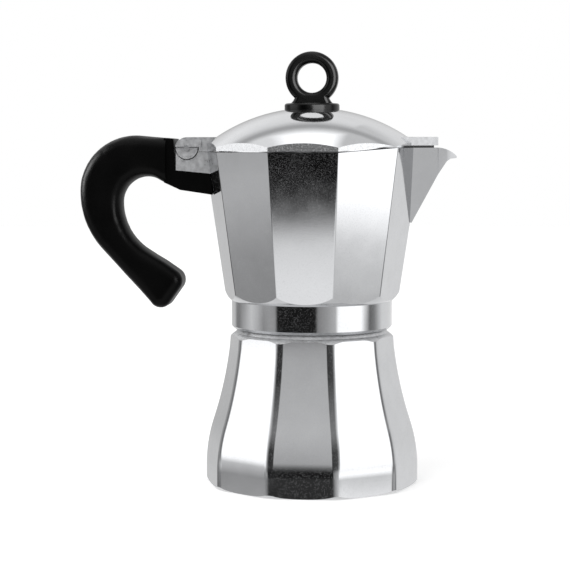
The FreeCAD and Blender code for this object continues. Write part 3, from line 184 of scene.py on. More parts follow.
def aluminium(name, colour, soft, pores, skin, cloud):
    """Buffed casting: pores is how much metal a pore takes away, skin how much oxide covers the rest, and
    cloud the size in mm and the depth of the patches that a casting keeps."""
    size, depth = cloud
    bright = linear(colour)[:3]
    dim = [level * (1 - depth) for level in bright]
    material, tree, shader = surface(name, colour, 1, soft)
    place = add(tree, "ShaderNodeTexCoord").outputs["Object"]
    pits = add(tree, "ShaderNodeTexNoise", Vector=place, Scale=per_metre(PORE), Detail=2, Roughness=0.6)
    waves = add(tree, "ShaderNodeTexNoise", Vector=place, Scale=per_metre(size), Detail=3, Roughness=0.5)
    metal = add(tree, "ShaderNodeMapRange", {"interpolation_type": "SMOOTHSTEP"}, Value=pits.outputs["Fac"],
                From_Min=PORE_START, From_Max=PORE_FULL, To_Min=1 - skin, To_Max=1 - skin - pores)
    rough = add(tree, "ShaderNodeMapRange", Value=waves.outputs["Fac"],
                From_Min=NOISE_LOW, From_Max=NOISE_HIGH, To_Min=0.8 * soft, To_Max=1.2 * soft)
    relief = add(tree, "ShaderNodeBump", Strength=0.03, Distance=PORE_DEPTH * MM, Height=pits.outputs["Fac"])
    patches = add(tree, "ShaderNodeMapRange", {"data_type": "FLOAT_VECTOR"}, n6=waves.outputs["Fac"],
                  n7=[NOISE_LOW] * 3, n8=[NOISE_HIGH] * 3, n9=dim, n10=bright)
    plug(tree, shader, Base_Color=patches.outputs["Vector"], Metallic=metal.outputs["Result"],
         Roughness=rough.outputs["Result"], Normal=relief.outputs["Normal"])
    return material


casting = aluminium("buffed cast aluminium", "#d3d4d6", 0.06, 0.075, 0, (9, 0.05))
dome_metal = aluminium("buffed pressed aluminium", "#d6d7d9", 0.07, 0.05, 0, (9, 0.03))
trimmed = aluminium("trimmed cast aluminium", "#d6d7d9", 0.12, 0.34, 0.05, (1.6, 0.15))
as_cast = aluminium("cast aluminium with its skin", "#d6d7d9", 0.34, 0.15, 0.45, (2.2, 0.3))
print("metals:", casting.name, "and", dome_metal.name, "and", trimmed.name, "and", as_cast.name)

# %% [markdown]
# ## Plain metals
# Pieces inside the pot are not buffed. Drawn sheet and turned tube keep a matt grey skin with fine
# streaks, so these are rougher metals, with a noise that is drawn out level for the turned look. The
# valve is turned brass, screws and washers are drawn steel, and the hinge pin is zinc plated, which
# leaves it pale and matt.

# %% Make the plain metals
STREAK = 0.8
STREAK_DEPTH = 0.02
DRAWN_OUT = (0.15, 0.15, 1)


def turned_metal(name, colour, soft, spread):
    """Bare metal with fine level streaks. Its roughness varies by a spread."""
    material, tree, shader = surface(name, colour, 1, soft)
    place = add(tree, "ShaderNodeTexCoord").outputs["Object"]
    level = add(tree, "ShaderNodeMapping", Vector=place, Scale=DRAWN_OUT)
    streaks = add(tree, "ShaderNodeTexNoise", Vector=level.outputs["Vector"], Scale=per_metre(STREAK),
                  Detail=3)
    rough = add(tree, "ShaderNodeMapRange", Value=streaks.outputs["Fac"],
                From_Min=NOISE_LOW, From_Max=NOISE_HIGH, To_Min=soft - spread, To_Max=soft + spread)
    relief = add(tree, "ShaderNodeBump", Strength=0.2, Distance=STREAK_DEPTH * MM,
                 Height=streaks.outputs["Fac"])
    plug(tree, shader, Roughness=rough.outputs["Result"], Normal=relief.outputs["Normal"])
    return material


drawn_aluminium = turned_metal("drawn aluminium", "#c3c4c6", 0.34, 0.08)
turned_brass = turned_metal("turned brass", "#c9a45a", 0.26, 0.08)
drawn_steel = turned_metal("drawn steel", "#b4b5b8", 0.24, 0.06)
zinc_steel = turned_metal("zinc plated steel", "#cfd0d2", 0.5, 0.06)
print("plain metals:", drawn_aluminium.name, turned_brass.name, drawn_steel.name, zinc_steel.name)

# %% [markdown]
# ## Black phenolic resin and silicone
# Handle and knob are moulded from black phenolic resin, which stands the heat. The handle's mould was
# finely blasted, so it is satin, with broad soft highlights. The knob's was polished. A moulded skin is
# never quite even, so a slow noise varies the gloss and a fine one gives the blasted skin its tooth. The
# gasket is milky silicone.

# %% Make the resin and the silicone
BLAST = 0.45
BLAST_DEPTH = 0.03
FLOW = 14
FLOW_SPREAD = 0.05


def moulded_resin(name, colour, soft, tooth, shine):
    """Moulded resin: tooth is the strength of the blasted skin, shine that of the mirror straight on."""
    material, tree, shader = surface(name, colour, 0, soft)
    place = add(tree, "ShaderNodeTexCoord").outputs["Object"]
    skin = add(tree, "ShaderNodeTexNoise", Vector=place, Scale=per_metre(BLAST), Detail=2)
    flow = add(tree, "ShaderNodeTexNoise", Vector=place, Scale=per_metre(FLOW), Detail=3)
    rough = add(tree, "ShaderNodeMapRange", Value=flow.outputs["Fac"], From_Min=NOISE_LOW,
                From_Max=NOISE_HIGH, To_Min=soft - FLOW_SPREAD, To_Max=soft + FLOW_SPREAD)
    relief = add(tree, "ShaderNodeBump", Strength=tooth, Distance=BLAST_DEPTH * MM,
                 Height=skin.outputs["Fac"])
    plug(tree, shader, Specular_IOR_Level=shine, Roughness=rough.outputs["Result"],
         Normal=relief.outputs["Normal"])
    return material


satin_resin = moulded_resin("satin black phenolic", "#020202", 0.36, 0.2, 0.09)
gloss_resin = moulded_resin("polished black phenolic", "#020202", 0.24, 0.06, 0.25)
silicone = moulded_resin("milky silicone", "#dcd8ce", 0.5, 0.1, 0.5)
plug(silicone.node_tree, silicone.node_tree.nodes["Principled BSDF"], Subsurface_Weight=0.2,
     Subsurface_Radius=(2 * MM, 2 * MM, 1.5 * MM))
print("mouldings:", satin_resin.name, gloss_resin.name, silicone.name)

# %% [markdown]
# ## Solids to meshes
# The frame's meshes are loose triangles, each with its own corners. On a mirror that shows as facets, so
# the larger pieces are copied or built anew, their doubled corners are merged, and their faces are shaded
# smooth except across real edges. On the castings the Weighted Normal modifier then lets large flat faces
# keep their own direction, so that a flat side mirrors like a flat side right up to its rounded edge.

# %% Helpers for edges and shading
TOUCH = 0.002 * MM
SHARP = 24
CAST_SHARP = 22


def weigh_normals(piece):
    """Large faces set the shading, and sharp edges stay."""
    weigh = piece.modifiers.new("flat sides stay flat", "WEIGHTED_NORMAL")
    weigh.keep_sharp = True
    weigh.weight = 90
    weigh.mode = "FACE_AREA"


def break_edges(piece, wheel, sharp):
    """Edges sharper than an angle in degrees are rounded over a width in mm."""
    broken = piece.modifiers.new("edges broken by the wheel", "BEVEL")
    broken.width = wheel * MM
    broken.segments = 3
    broken.limit_method = "ANGLE"
    broken.angle_limit = math.radians(sharp)
    broken.miter_outer = "MITER_ARC"


def weld(bm):
    """Merge doubled corners and take out what has no size."""
    bmesh.ops.remove_doubles(bm, verts=bm.verts, dist=TOUCH)
    bmesh.ops.dissolve_degenerate(bm, edges=bm.edges, dist=TOUCH)


def shade(bm, sharp):
    """Smooth faces, with edges sharper than an angle in degrees kept sharp."""
    for face in bm.faces:
        face.smooth = True
    for edge in bm.edges:
        edge.smooth = len(edge.link_faces) == 2 and edge.calc_face_angle(0) < math.radians(sharp)


# %% Helpers that show a piece


def show(bm, name, body, material, nodes):
    """Object from a mesh, in place of the solids it stands for. It rides on its body if it has one alone."""
    mesh = bpy.data.meshes.new(name)
    bm.to_mesh(mesh)
    bm.free()
    mesh.materials.append(material)
    piece = bpy.data.objects.new(name, mesh)
    scene.collection.objects.link(piece)
    if body:
        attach(piece, body)
    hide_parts(*nodes)
    return piece


def merged(node):
    """Copy of a solid with its doubled corners merged and its flat faces joined."""
    bm = bmesh.new()
    bm.from_mesh(frame["nodes"][node].data)
    weld(bm)
    bmesh.ops.dissolve_limit(bm, angle_limit=math.radians(0.2), verts=bm.verts, edges=bm.edges)
    return bm


def polish(bm, node, name, body, slot, material, wheel):
    """Smoothly shaded piece in place of a solid. A wheel of a width in mm breaks its sharp edges."""
    shade(bm, SHARP)
    piece = show(bm, name, body, material, [node])
    if wheel:
        break_edges(piece, wheel, SHARP)
        weigh_normals(piece)
    return piece


print("the collector's solid has", len(frame["nodes"]["collector"].data.polygons), "loose triangles")

# %% [markdown]
# ## Collector, knob and handle
# Collector and knob already have their main roundings, so they only need the merged copy and a finish,
# and the collector's edges are broken a little. The handle's grip is rounder than its solid. It is cut
# into a grid and its sides are relaxed across the pot, so that its outline stays, and a few rounds in all
# directions even the grid out. The relaxing fades out towards the lug, where the handle is flat.

# %% Round the grip
GRID = 1.5
GRID_MERGE = 0.1
GRIP_DEPTHS = (-113, -70)
GRIP_HEIGHTS = (85, 172)
FADE_START = -72
FADE_WIDTH = 12


def relax(bm, rounds, core, **axes):
    """Smooth corners outside a core in mm beside the middle plane. Each round ends further from the lug."""
    for turn in range(rounds):
        edge = (FADE_START - FADE_WIDTH * turn / rounds) * MM
        loose = [vert for vert in bm.verts if vert.co.x < edge and abs(vert.co.y) >= core * MM]
        bmesh.ops.smooth_vert(bm, verts=loose, factor=0.5, **axes)


grip = merged("handle")
for way, (low, high) in ((Vector((1, 0, 0)), GRIP_DEPTHS), (Vector((0, 0, 1)), GRIP_HEIGHTS)):
    for step in range(int((high - low) / GRID)):
        bmesh.ops.bisect_plane(grip, geom=grip.verts[:] + grip.edges[:] + grip.faces[:], dist=TOUCH,
                               plane_co=way * (low + GRID * step) * MM, plane_no=way)
bmesh.ops.remove_doubles(grip, verts=grip.verts, dist=GRID_MERGE * MM)
relax(grip, 130, 1, use_axis_y=True)
relax(grip, 10, 0, use_axis_x=True, use_axis_y=True, use_axis_z=True)
print("grip:", len(grip.verts), "corners")

# %% Polish the upper pieces
POLISHED = [
    (merged("collector"), "collector", "collector_casting", "collector", "polished_aluminium", casting, 0.35),
    (merged("knob"), "knob", "knob_ring", "lid", "gloss_black", gloss_resin, 0),
    (grip, "handle", "handle_grip", "collector", "satin_black", satin_resin, 0),
]
for settings in POLISHED:
    piece = polish(*settings)
    print(piece.name, len(piece.data.polygons), "faces")

# %% [markdown]
# The wheel doesn't reach the lug or the inside, so they keep the dull skin of the casting. A face is
# inside where it looks back at the axis.

# %% Leave the lug and the inside as cast
LUG_START = -51.5
CORE_RADIUS = 36


def faces_axis(place, normal):
    """True for a face that looks at the upright axis, or up or down close to it."""
    inward = place.xy.dot(normal.xy) < -0.2 * place.xy.length
    level = abs(normal.z) > 0.9 and place.xy.length < CORE_RADIUS * MM
    return inward or level


collector = bpy.data.objects["collector_casting"]
collector.data.materials.append(as_cast)
for face in collector.data.polygons:
    if face.center.x < LUG_START * MM or faces_axis(face.center, face.normal):
        face.material_index = 1
print("as cast:", sum(face.material_index for face in collector.data.polygons), "faces")

# %% [markdown]
# ## Boiler
# The lower chamber is a ten-sided casting that swells to a belly and draws in to a waist, and the wheel
# has rounded its upright edges. Each rounded edge mirrors a wide slice of the room in a few millimetres,
# which is the dark line between two bright sides. It could be lofted, but this way follows the foundry: a
# ten-sided face is extruded ring by ring while its width follows the curve of the side, its upright edges
# are bevelled, and a turned blank takes away what reaches past the round foot and the round shoulder. A
# second turned shape hollows it.

# %% Draw the boiler's side
SIDES = 10


def arc(start, end, radius, steps):
    """Points from start to end in mm. The arc bulges to the right of its way, or to the left if negative."""
    start, end = Vector(start), Vector(end)
    chord = end - start
    right = Vector((chord.y, -chord.x)).normalized()
    rise = math.sqrt(radius ** 2 - chord.length_squared / 4)
    centre = (start + end) / 2 - right * math.copysign(rise, radius)
    first = math.atan2(start.y - centre.y, start.x - centre.x)
    sweep = math.copysign(2 * math.asin(chord.length / 2 / abs(radius)), radius)
    turns = [first + sweep * step / steps for step in range(steps + 1)]
    return [(centre.x + abs(radius) * math.cos(a), centre.y + abs(radius) * math.sin(a)) for a in turns]


side = [(49.8, 0)] + arc((49.8, 9), (46.24, 31), 75, 10) + arc((46.24, 31), (38.7, 67), -195, 12)[1:]
side += [(38.3, 72.5), (46, 72.5), (46, 90)]
print("side of", len(side), "points, from", side[0][0], "mm at the foot")

# %% Extrude the ten-sided body
EDGE_WIDTH = 2.7
WAIST_TOP = 73
bm = bmesh.new()
bmesh.ops.create_circle(bm, cap_ends=True, segments=SIDES, radius=side[0][0] * MM / math.cos(math.pi / SIDES),
                        matrix=Matrix.Rotation(math.pi / SIDES, 4, "Z"))
top = bm.faces[:]
inner = []
for (wide, low), (next_wide, high) in zip(side, side[1:]):
    # A face that was extruded stays behind inside the body, so it is deleted, apart from the base.
    grown = bmesh.ops.extrude_face_region(bm, geom=top)["geom"]
    bmesh.ops.delete(bm, geom=inner, context="FACES_ONLY")
    corners = [item for item in grown if isinstance(item, bmesh.types.BMVert)]
    top = [item for item in grown if isinstance(item, bmesh.types.BMFace)]
    inner = top
    bmesh.ops.scale(bm, vec=(next_wide / wide, next_wide / wide, 1), verts=corners)
    bmesh.ops.translate(bm, vec=(0, 0, (high - low) * MM), verts=corners)
bmesh.ops.recalc_face_normals(bm, faces=bm.faces)
upright = [edge for edge in bm.edges if abs(edge.verts[0].co.z - edge.verts[1].co.z) > 0.1 * MM
           and max(vert.co.z for vert in edge.verts) < WAIST_TOP * MM]
bmesh.ops.bevel(bm, geom=upright, offset=EDGE_WIDTH * MM, offset_type="OFFSET", segments=6, profile=0.5,
                affect="EDGES", material=-1)
print("ten-sided body:", len(bm.faces), "faces,", len(upright), "edges rounded")

# %% [markdown]
# Turned shapes are spun from half a section. A Boolean of two closed meshes does what the lathe and the
# core did.

# %% Helpers for turning and carving


def turned(section, steps=160):
    """Closed mesh spun round the upright axis from points of radius and height in mm."""
    shape = bmesh.new()
    corners = [shape.verts.new((radius * MM, 0, height * MM)) for radius, height in section]
    line = [shape.edges.new(pair) for pair in zip(corners, corners[1:])]
    bmesh.ops.spin(shape, geom=corners + line, axis=(0, 0, 1), cent=(0, 0, 0), angle=math.tau, steps=steps,
                   use_merge=True)
    bmesh.ops.remove_doubles(shape, verts=shape.verts, dist=TOUCH)
    bmesh.ops.recalc_face_normals(shape, faces=shape.faces)
    return shape


def carved(work, operation, tool):
    """Result of a Boolean between two closed meshes, which are used up."""
    pair = []
    for shape in (work, tool):
        mesh = bpy.data.meshes.new("carving")
        shape.to_mesh(mesh)
        shape.free()
        pair.append(bpy.data.objects.new("carving", mesh))
        scene.collection.objects.link(pair[-1])
    carve = pair[0].modifiers.new("carve", "BOOLEAN")
    carve.operation = operation
    carve.object = pair[1]
    carve.solver = "EXACT"
    result = bmesh.new()
    result.from_object(pair[0], bpy.context.evaluated_depsgraph_get())
    for item in pair:
        bpy.data.objects.remove(item)
    return result


# %% Carve the blank and the hollow
blank = [(0, 0)] + arc((48.4, 0), (52.8, 4), 4.3, 8) + [(52.8, 31)]
blank += arc((42.1, 66.4), (37.1, 73.6), 9.5, 8)
blank += [(36.2, 75.2), (34.8, 75.2), (34.8, 84.1), (34.4, 84.5), (0, 84.5)]
hollow = [(0, 3.5)] + arc((40.4, 3.5), (46.4, 9.5), 6, 6) + [(42.84, 31), (35.3, 64), (30, 69)]
hollow += [(30, 83.4), (33.2, 83.4), (33.2, 90), (0, 90)]
bm = carved(bm, "INTERSECT", turned(blank))
bm = carved(bm, "DIFFERENCE", turned(hollow))
print("carved boiler:", len(bm.faces), "faces")

# %% [markdown]
# The valve sits in a round boss on the back. The thread on the neck is a ridge spun along a helix: the
# spin's own step upwards makes the pitch. Its ends are closed, and it sinks a little into the neck.
# Shoulder, neck and inside stay as cast, because the collar keeps the wheel away from them.

# %% Add the boss
VALVE_HEIGHT = 50
facing_back = Matrix.Rotation(-math.pi / 2, 4, "X")


def rod(radius, start, end):
    """Closed round bar along +Y at the valve's height, sizes in mm."""
    shape = bmesh.new()
    middle = Matrix.Translation((0, (start + end) / 2 * MM, VALVE_HEIGHT * MM))
    bmesh.ops.create_cone(shape, cap_ends=True, segments=64, radius1=radius * MM, radius2=radius * MM,
                          depth=(end - start) * MM, matrix=middle @ facing_back)
    return shape


bm = carved(bm, "UNION", rod(8.4, 36.5, 44))
bm = carved(bm, "DIFFERENCE", rod(5, 30, 50))
print("boiler with its boss:", len(bm.faces), "faces")

# %% Wind the thread
PITCH = 3.5
THREAD_TURNS = 1.7
THREAD_STEPS = 120
ridge = bmesh.new()
section = [(34.5, 76.6), (36.5, 77.3), (36.5, 77.8), (34.5, 78.5)]
corners = [ridge.verts.new((radius * MM, 0, height * MM)) for radius, height in section]
start = ridge.faces.new(corners)
rise = Vector((0, 0, PITCH * THREAD_TURNS / THREAD_STEPS * MM))
bmesh.ops.spin(ridge, geom=[start], axis=(0, 0, 1), cent=(0, 0, 0), dvec=rise, angle=math.tau * THREAD_TURNS,
               steps=THREAD_STEPS)
bmesh.ops.recalc_face_normals(ridge, faces=ridge.faces)
print("thread:", len(ridge.faces), "faces")
mesh = bpy.data.meshes.new("ridge")
ridge.to_mesh(mesh)
ridge.free()
bm.from_mesh(mesh)
bpy.data.meshes.remove(mesh)

# %% Finish the boiler
SHOULDER_START = 64
NECK_START = 73.5
weld(bm)
shade(bm, CAST_SHARP)
for face in bm.faces:
    middle = face.calc_center_median()
    shoulder = face.normal.z > 0.35 and middle.z > SHOULDER_START * MM
    face.material_index = shoulder or middle.z > NECK_START * MM or faces_axis(middle, face.normal)
boiler = show(bm, "boiler_casting", "boiler", casting, ["boiler"])
boiler.data.materials.append(as_cast)
weigh_normals(boiler)
print("boiler:", len(boiler.data.polygons), "faces")

# %% [markdown]
# ## Lid
# The lid is a shallow dome, a cap of a large sphere, with a sunk seat for the knob. The same ten flat
# sides as the collector's trim it, and where they meet the dome they leave a row of scallops. It is spun
# as a closed shape, trimmed by a ten-sided prism, joined to the hinge arms and the beak, and then
# hollowed, as the foundry's core does. Prisms are drawn as an outline that is extruded once.

# %% Spin and trim the dome
RIM_FLAT = 50.2


def prism(outline, along, low, high):
    """Closed prism in mm. Along "Y" the outline gives x and z, along "Z" it gives x and y."""
    shape = bmesh.new()
    points = [(x, low, other) if along == "Y" else (x, other, low) for x, other in outline]
    face = shape.faces.new([shape.verts.new(Vector(point) * MM) for point in points])
    way = Vector((0, high - low, 0)) if along == "Y" else Vector((0, 0, high - low))
    grown = bmesh.ops.extrude_face_region(shape, geom=[face])["geom"]
    far = [item for item in grown if isinstance(item, bmesh.types.BMVert)]
    bmesh.ops.translate(shape, vec=way * MM, verts=far)
    bmesh.ops.recalc_face_normals(shape, faces=shape.faces)
    return shape


def even_ring(centre, radius, count):
    """Corners of a regular outline in mm."""
    turns = [math.radians(360 / count * step) for step in range(count)]
    return [(centre[0] + radius * math.cos(turn), centre[1] + radius * math.sin(turn)) for turn in turns]


dome = [(0, 160), (53.185, 160)] + arc((53.185, 163.145), (14.4, 181.17), 83, 26)
dome += arc((14.4, 181.17), (13.9, 180.3), 0.9, 3)[1:] + [(0, 180.3)]
rim = even_ring((0, 0), RIM_FLAT / math.cos(math.pi / SIDES), SIDES)
bm = carved(turned(dome, 180), "INTERSECT", prism(rim, "Z", 158, 190))
print("trimmed dome:", len(bm.faces), "faces")

# %% [markdown]
# The arms end in two ears round the pin, a bar above a groove stiffens them, and a fork is cut between
# them for the collector's tongue. The beak covers the spout. The lid's lower edge follows the rim, which
# climbs towards the spout. A thin lip inside it, notched at the spout, and a tongue under the beak keep
# the steam in, and make the seam a dark line.

# %% Draw the hinge and the beak
HINGE = (-60.1, 162.9)
EAR = 5.3
ear_top = (HINGE[0], HINGE[1] + EAR)
ear_foot = (HINGE[0], HINGE[1] - EAR)
ear_end = (HINGE[0] + 5.276, 163.4)
arms = [(-54.2, 160), (-44.2, 160), (-44.2, ear_top[1])] + arc(ear_top, ear_foot, EAR, 20)
arms += arc(ear_foot, ear_end, EAR, 10)[1:] + [(-54.2, 163.4)]
bar = [(-52.9, 163.5), (-52.9, 167.1)] + arc((-63.573, 167.1), (-65.49, 163.5), 5.45, 6)
groove = [(-70, 163), (-54.6, 163), (-54.6, 163.6), (-70, 163.6)]
fork = [(-69.1, 154), (-55.45, 154), (-55.45, 172), (-69.1, 172)]
pin_hole = even_ring(HINGE, 1.55, 32)
beak = [(42.3, -16.74), (60.9, -5.29), (60.9, 5.29), (42.3, 16.74)]
tongue = [(44.6, -3), (59, -0.9), (59, 0.9), (44.6, 3)]
print("arms of", len(arms), "corners, bar of", len(bar))

# %% Draw the edge and the hollow
LID_EDGE = 161.7
ARM_EDGE = LID_EDGE - 0.45
BEAK_EDGE = 164.3
under = [(-54.5, 155), (66, 155), (66, BEAK_EDGE), (42.7, BEAK_EDGE), (16.3, LID_EDGE), (-46, LID_EDGE)]
under += [(-48, ARM_EDGE), (-54.5, ARM_EDGE)]
hollow = [(0, 158), (46.8, 158)] + arc((46.8, 162.5), (42.8, 168.19), 12, 6)
hollow += arc((42.8, 168.19), (18.43, 178.3), 81, 16)[1:] + [(0, 178.3)]
lip = [(44, 161.2), (45.2, 161.2), (45.2, 167.8), (44, 167.8), (44, 161.2)]
notch = [(30, -9), (60, -9), (60, 9), (30, 9)]
screw_hole = [(0, 170), (2.3, 170), (2.3, 190), (0, 190)]
print("edge climbs by", round(BEAK_EDGE - LID_EDGE, 1), "mm to the beak")

# %% Join and hollow the lid
for operation, tool in [
    ("UNION", prism(arms, "Y", -8.5, 8.5)),
    ("UNION", prism(bar, "Y", -10, 10)),
    ("DIFFERENCE", prism(groove, "Y", -12, -7.4)),
    ("DIFFERENCE", prism(groove, "Y", 7.4, 12)),
    ("DIFFERENCE", prism(fork, "Y", -4.75, 4.75)),
    ("UNION", prism(beak, "Z", 162, 168.35)),
    ("DIFFERENCE", prism(under, "Y", -70, 70)),
    ("DIFFERENCE", turned(hollow, 180)),
    ("UNION", turned(lip, 180)),
    ("DIFFERENCE", prism(notch, "Z", 155, 163)),
    ("UNION", prism(tongue, "Z", 162.9, 166)),
    ("DIFFERENCE", prism(pin_hole, "Y", -20, 20)),
    ("DIFFERENCE", turned(screw_hole, 32)),
]:
    bm = carved(bm, operation, tool)
weld(bm)
shade(bm, CAST_SHARP)
print("joined lid:", len(bm.faces), "faces")

# %% [markdown]
# The dome is buffed and the upright sides are only trimmed. The hinge, the sides of the beak and the
# corners beside it, the underside and the inside stay as cast.

# %% Finish the lid
SIDE_RADIUS = 49
BEAK_START = 43
BEAK_REACH = 24
HINGE_START = -53
for face in bm.faces:
    middle = face.calc_center_median() / MM
    upright = abs(face.normal.z) < 0.1 and middle.xy.length > SIDE_RADIUS
    by_beak = upright and middle.x > BEAK_START and abs(middle.y) < BEAK_REACH
    inside = face.normal.z < -0.1 or middle.xy.dot(face.normal.xy) < -20
    dull = middle.x < HINGE_START or by_beak or inside
    face.material_index = 2 if dull else 1 if upright else 0
lid = show(bm, "lid_dome", "lid", dome_metal, ["lid"])
lid.data.materials.append(trimmed)
lid.data.materials.append(as_cast)
break_edges(lid, 0.5, CAST_SHARP)
weigh_normals(lid)
print("lid:", len(lid.data.polygons), "faces")

# %% [markdown]
# ## Pieces that keep their solids
# Small and hidden pieces are right as they come. They only get the finish of their material.

# %% Finish the other pieces
FINISHES = {
    drawn_aluminium: ["funnel", "funnel_screen", "filter_plate", "column"],
    turned_brass: ["valve_body", "valve_cap", "valve_plunger", "knob_insert"],
    drawn_steel: ["handle_screw", "handle_washer", "knob_screw", "knob_washer"],
    zinc_steel: ["hinge_pin"],
    silicone: ["gasket", "valve_washer"],
}
for material, nodes in FINISHES.items():
    for node in nodes:
        frame["nodes"][node].data.materials.clear()
        frame["nodes"][node].data.materials.append(material)
    print(material.name, "on", len(nodes), "pieces")

# %% [markdown]
# One end of the valve's spring stands on the plunger and the other on the valve. The spring is a smoothly
# shaded copy of its solid.

# %% Copy the spring
spring = polish(merged("valve_spring"), "valve_spring", "valve_coil", None, "steel", drawn_steel, 0)
inner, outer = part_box("valve_spring")
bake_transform(spring)
print("spring:", round((outer[1] - inner[1]) / MM, 1), "mm long")

# %% [markdown]
# ## White studio
# A mirror has no look of its own: it shows the studio. The pot stood in a white room, with a soft box on
# its right, another on its left, one overhead, and the dark side of the room behind the camera. Boxes and
# flags could be built as planes, but only their direction counts for so small a pot, so the world holds
# them: belts at rising heights, each a ramp of light levels round the pot. A belt is its elevation in
# degrees, and pairs of azimuth and level. Azimuth 0 is the camera, and right is positive. The lower belts
# share a pale wall and a dark one on the left, and two dark flags with a grey strip between them on the
# right.

# %% Describe the lower belts
LEFT_DARK = [(-138, 0.1), (-100, 0.1)]
LEFT_WALLS = [(-180, 0.5), (-166, 0.85), (-146, 0.85)] + LEFT_DARK
RIGHT_FLAGS = [(78, 0.03), (88, 0.03), (92, 0.56), (101, 0.56), (105, 0.03), (117, 0.03), (122, 0.92)]
RIGHT_WALLS = RIGHT_FLAGS + [(166, 0.92), (180, 0.5)]
FLOOR_BELT = [(-180, 0.92), (-90, 0.85), (0, 0.92), (62, 0.7), (120, 0.7), (180, 0.92)]
LOW_FRONTS = [
    (-21, [(-92, 0.3), (-72, 0.3), (-55, 0.7), (-40, 1.05), (0, 1.16), (40, 0.9), (54, 0.62), (74, 0.6)]),
    (-19.4, [(-92, 0.3), (-72, 0.3), (-55, 0.5), (-40, 0.8), (-10, 1.0), (20, 0.86), (54, 0.62), (74, 0.62)]),
    (-18.8, [(-92, 0.31), (-72, 0.31), (-55, 0.25), (-40, 0.18), (-10, 0.27), (5, 0.32), (25, 0.52),
             (45, 0.66), (74, 0.66)]),
    (-18.2, [(-92, 0.33), (-72, 0.33), (-60, 0.25), (-45, 0.01), (3, 0.01), (15, 0.3), (30, 0.6), (42, 0.76),
             (74, 0.76)]),
    (-17, [(-92, 0.36), (-72, 0.36), (-60, 0.27), (-45, 0.005), (3, 0.005), (15, 0.3), (30, 0.7), (42, 0.9),
           (74, 0.9)]),
    (-15.5, [(-92, 0.4), (-72, 0.4), (-60, 0.3), (-45, 0.005), (3, 0.005), (15, 0.3), (30, 0.7), (42, 1.75),
             (74, 1.75)]),
]
BELTS = [(-60, FLOOR_BELT)]
BELTS += [(height, LEFT_WALLS + front + RIGHT_WALLS) for height, front in LOW_FRONTS]
print(len(BELTS), "lower belts")

# %% Describe the upper belts
HIGH_LEFT = [(-130, 0.4), (-112, 0.15)]
RIGHT_BOX = [(42, 0.6), (50, 1.8), (84, 1.8)]
HIGH_RIGHT = [(92, 0.2), (98, 0.2), (112, 0.85), (166, 0.85)]
BELTS += [
    (-13.5, [(-180, 0.45), (-166, 0.8), (-146, 0.8)] + LEFT_DARK
     + [(-92, 0.62), (-72, 0.62), (-60, 0.4), (-45, 0.02), (3, 0.02), (15, 0.3), (30, 0.7), (42, 1.8),
        (74, 1.8)] + RIGHT_FLAGS + [(166, 0.9), (180, 0.45)]),
    (-10, [(-180, 0.4), (-166, 0.66), (-146, 0.66), (-136, 0.2), (-112, 0.3), (-82, 0.38), (-60, 0.3),
           (-45, 0.05), (-10, 0.04), (5, 0.08), (30, 0.65), (62, 0.8), (78, 0.75), (88, 0.2), (91, 0.5),
           (101, 0.5), (108, 0.3), (120, 0.9), (166, 0.88), (180, 0.4)]),
    (-6, [(-180, 0.4), (-166, 0.66), (-146, 0.66), (-136, 0.25), (-128, 0.25), (-116, 0.5), (-96, 0.8),
          (-84, 0.6), (-73, 0.33), (-62, 0.45), (-54, 0.45), (-50, 0.01), (5, 0.01), (9, 0.33), (22, 0.45),
          (34, 0.62), (38, 1.6), (74, 1.7), (82, 0.8), (91, 0.16), (102, 0.3), (120, 0.9), (166, 0.88),
          (180, 0.4)]),
    (-3, [(-180, 0.4), (-166, 0.6), (-146, 0.6), (-130, 0.4), (-112, 0.2), (-98, 0.75), (-70, 0.75),
          (-58, 0.3), (-50, 0.02), (2, 0.02), (12, 0.25), (34, 0.6), (42, 1.5), (84, 1.5), (92, 0.25),
          (98, 0.25), (112, 0.85), (166, 0.88), (180, 0.4)]),
    (-0.5, [(-180, 0.4), (-166, 0.56), (-146, 0.56)] + HIGH_LEFT
     + [(-98, 1.5), (-70, 1.5), (-58, 0.4), (-48, 0.05), (-22, 0.05), (-16, 0.14), (-4, 0.14), (0, 0.05),
        (30, 0.1), (40, 0.6), (48, 1.7), (84, 1.7)] + HIGH_RIGHT + [(180, 0.4)]),
    (3, [(-180, 0.4), (-166, 0.56), (-146, 0.56)] + HIGH_LEFT
     + [(-98, 1.8), (-70, 1.8), (-58, 0.4), (-50, 0.04), (-24, 0.05), (-16, 0.52), (-4, 0.52), (1, 0.05),
        (32, 0.08)] + RIGHT_BOX + HIGH_RIGHT + [(180, 0.4)]),
    (12, [(-180, 0.5), (-166, 0.7), (-146, 0.7)] + HIGH_LEFT
     + [(-98, 1.8), (-70, 1.8), (-58, 0.5), (-50, 0.04), (-24, 0.05), (-16, 0.6), (-4, 0.6), (1, 0.05),
        (32, 0.08)] + RIGHT_BOX + HIGH_RIGHT + [(180, 0.5)]),
    (28, [(-180, 0.9), (-98, 1.4), (-70, 1.6), (-58, 0.8), (-45, 0.3), (-24, 0.3), (-14, 0.7), (-4, 0.7),
          (4, 0.3), (30, 0.3), (46, 1.6), (82, 1.6), (114, 0.9), (180, 0.9)]),
]
print(len(BELTS), "belts in all")

# %% [markdown]
# Overhead, a soft box reaches from above the camera to behind the pot and ends in a shaded edge there.
# Its light is written as pairs of how far back a direction points, from -1 at the camera to 1 behind the
# pot, and the level. The box is narrow, so further pairs give the most light there is for how far to the
# right a direction points.

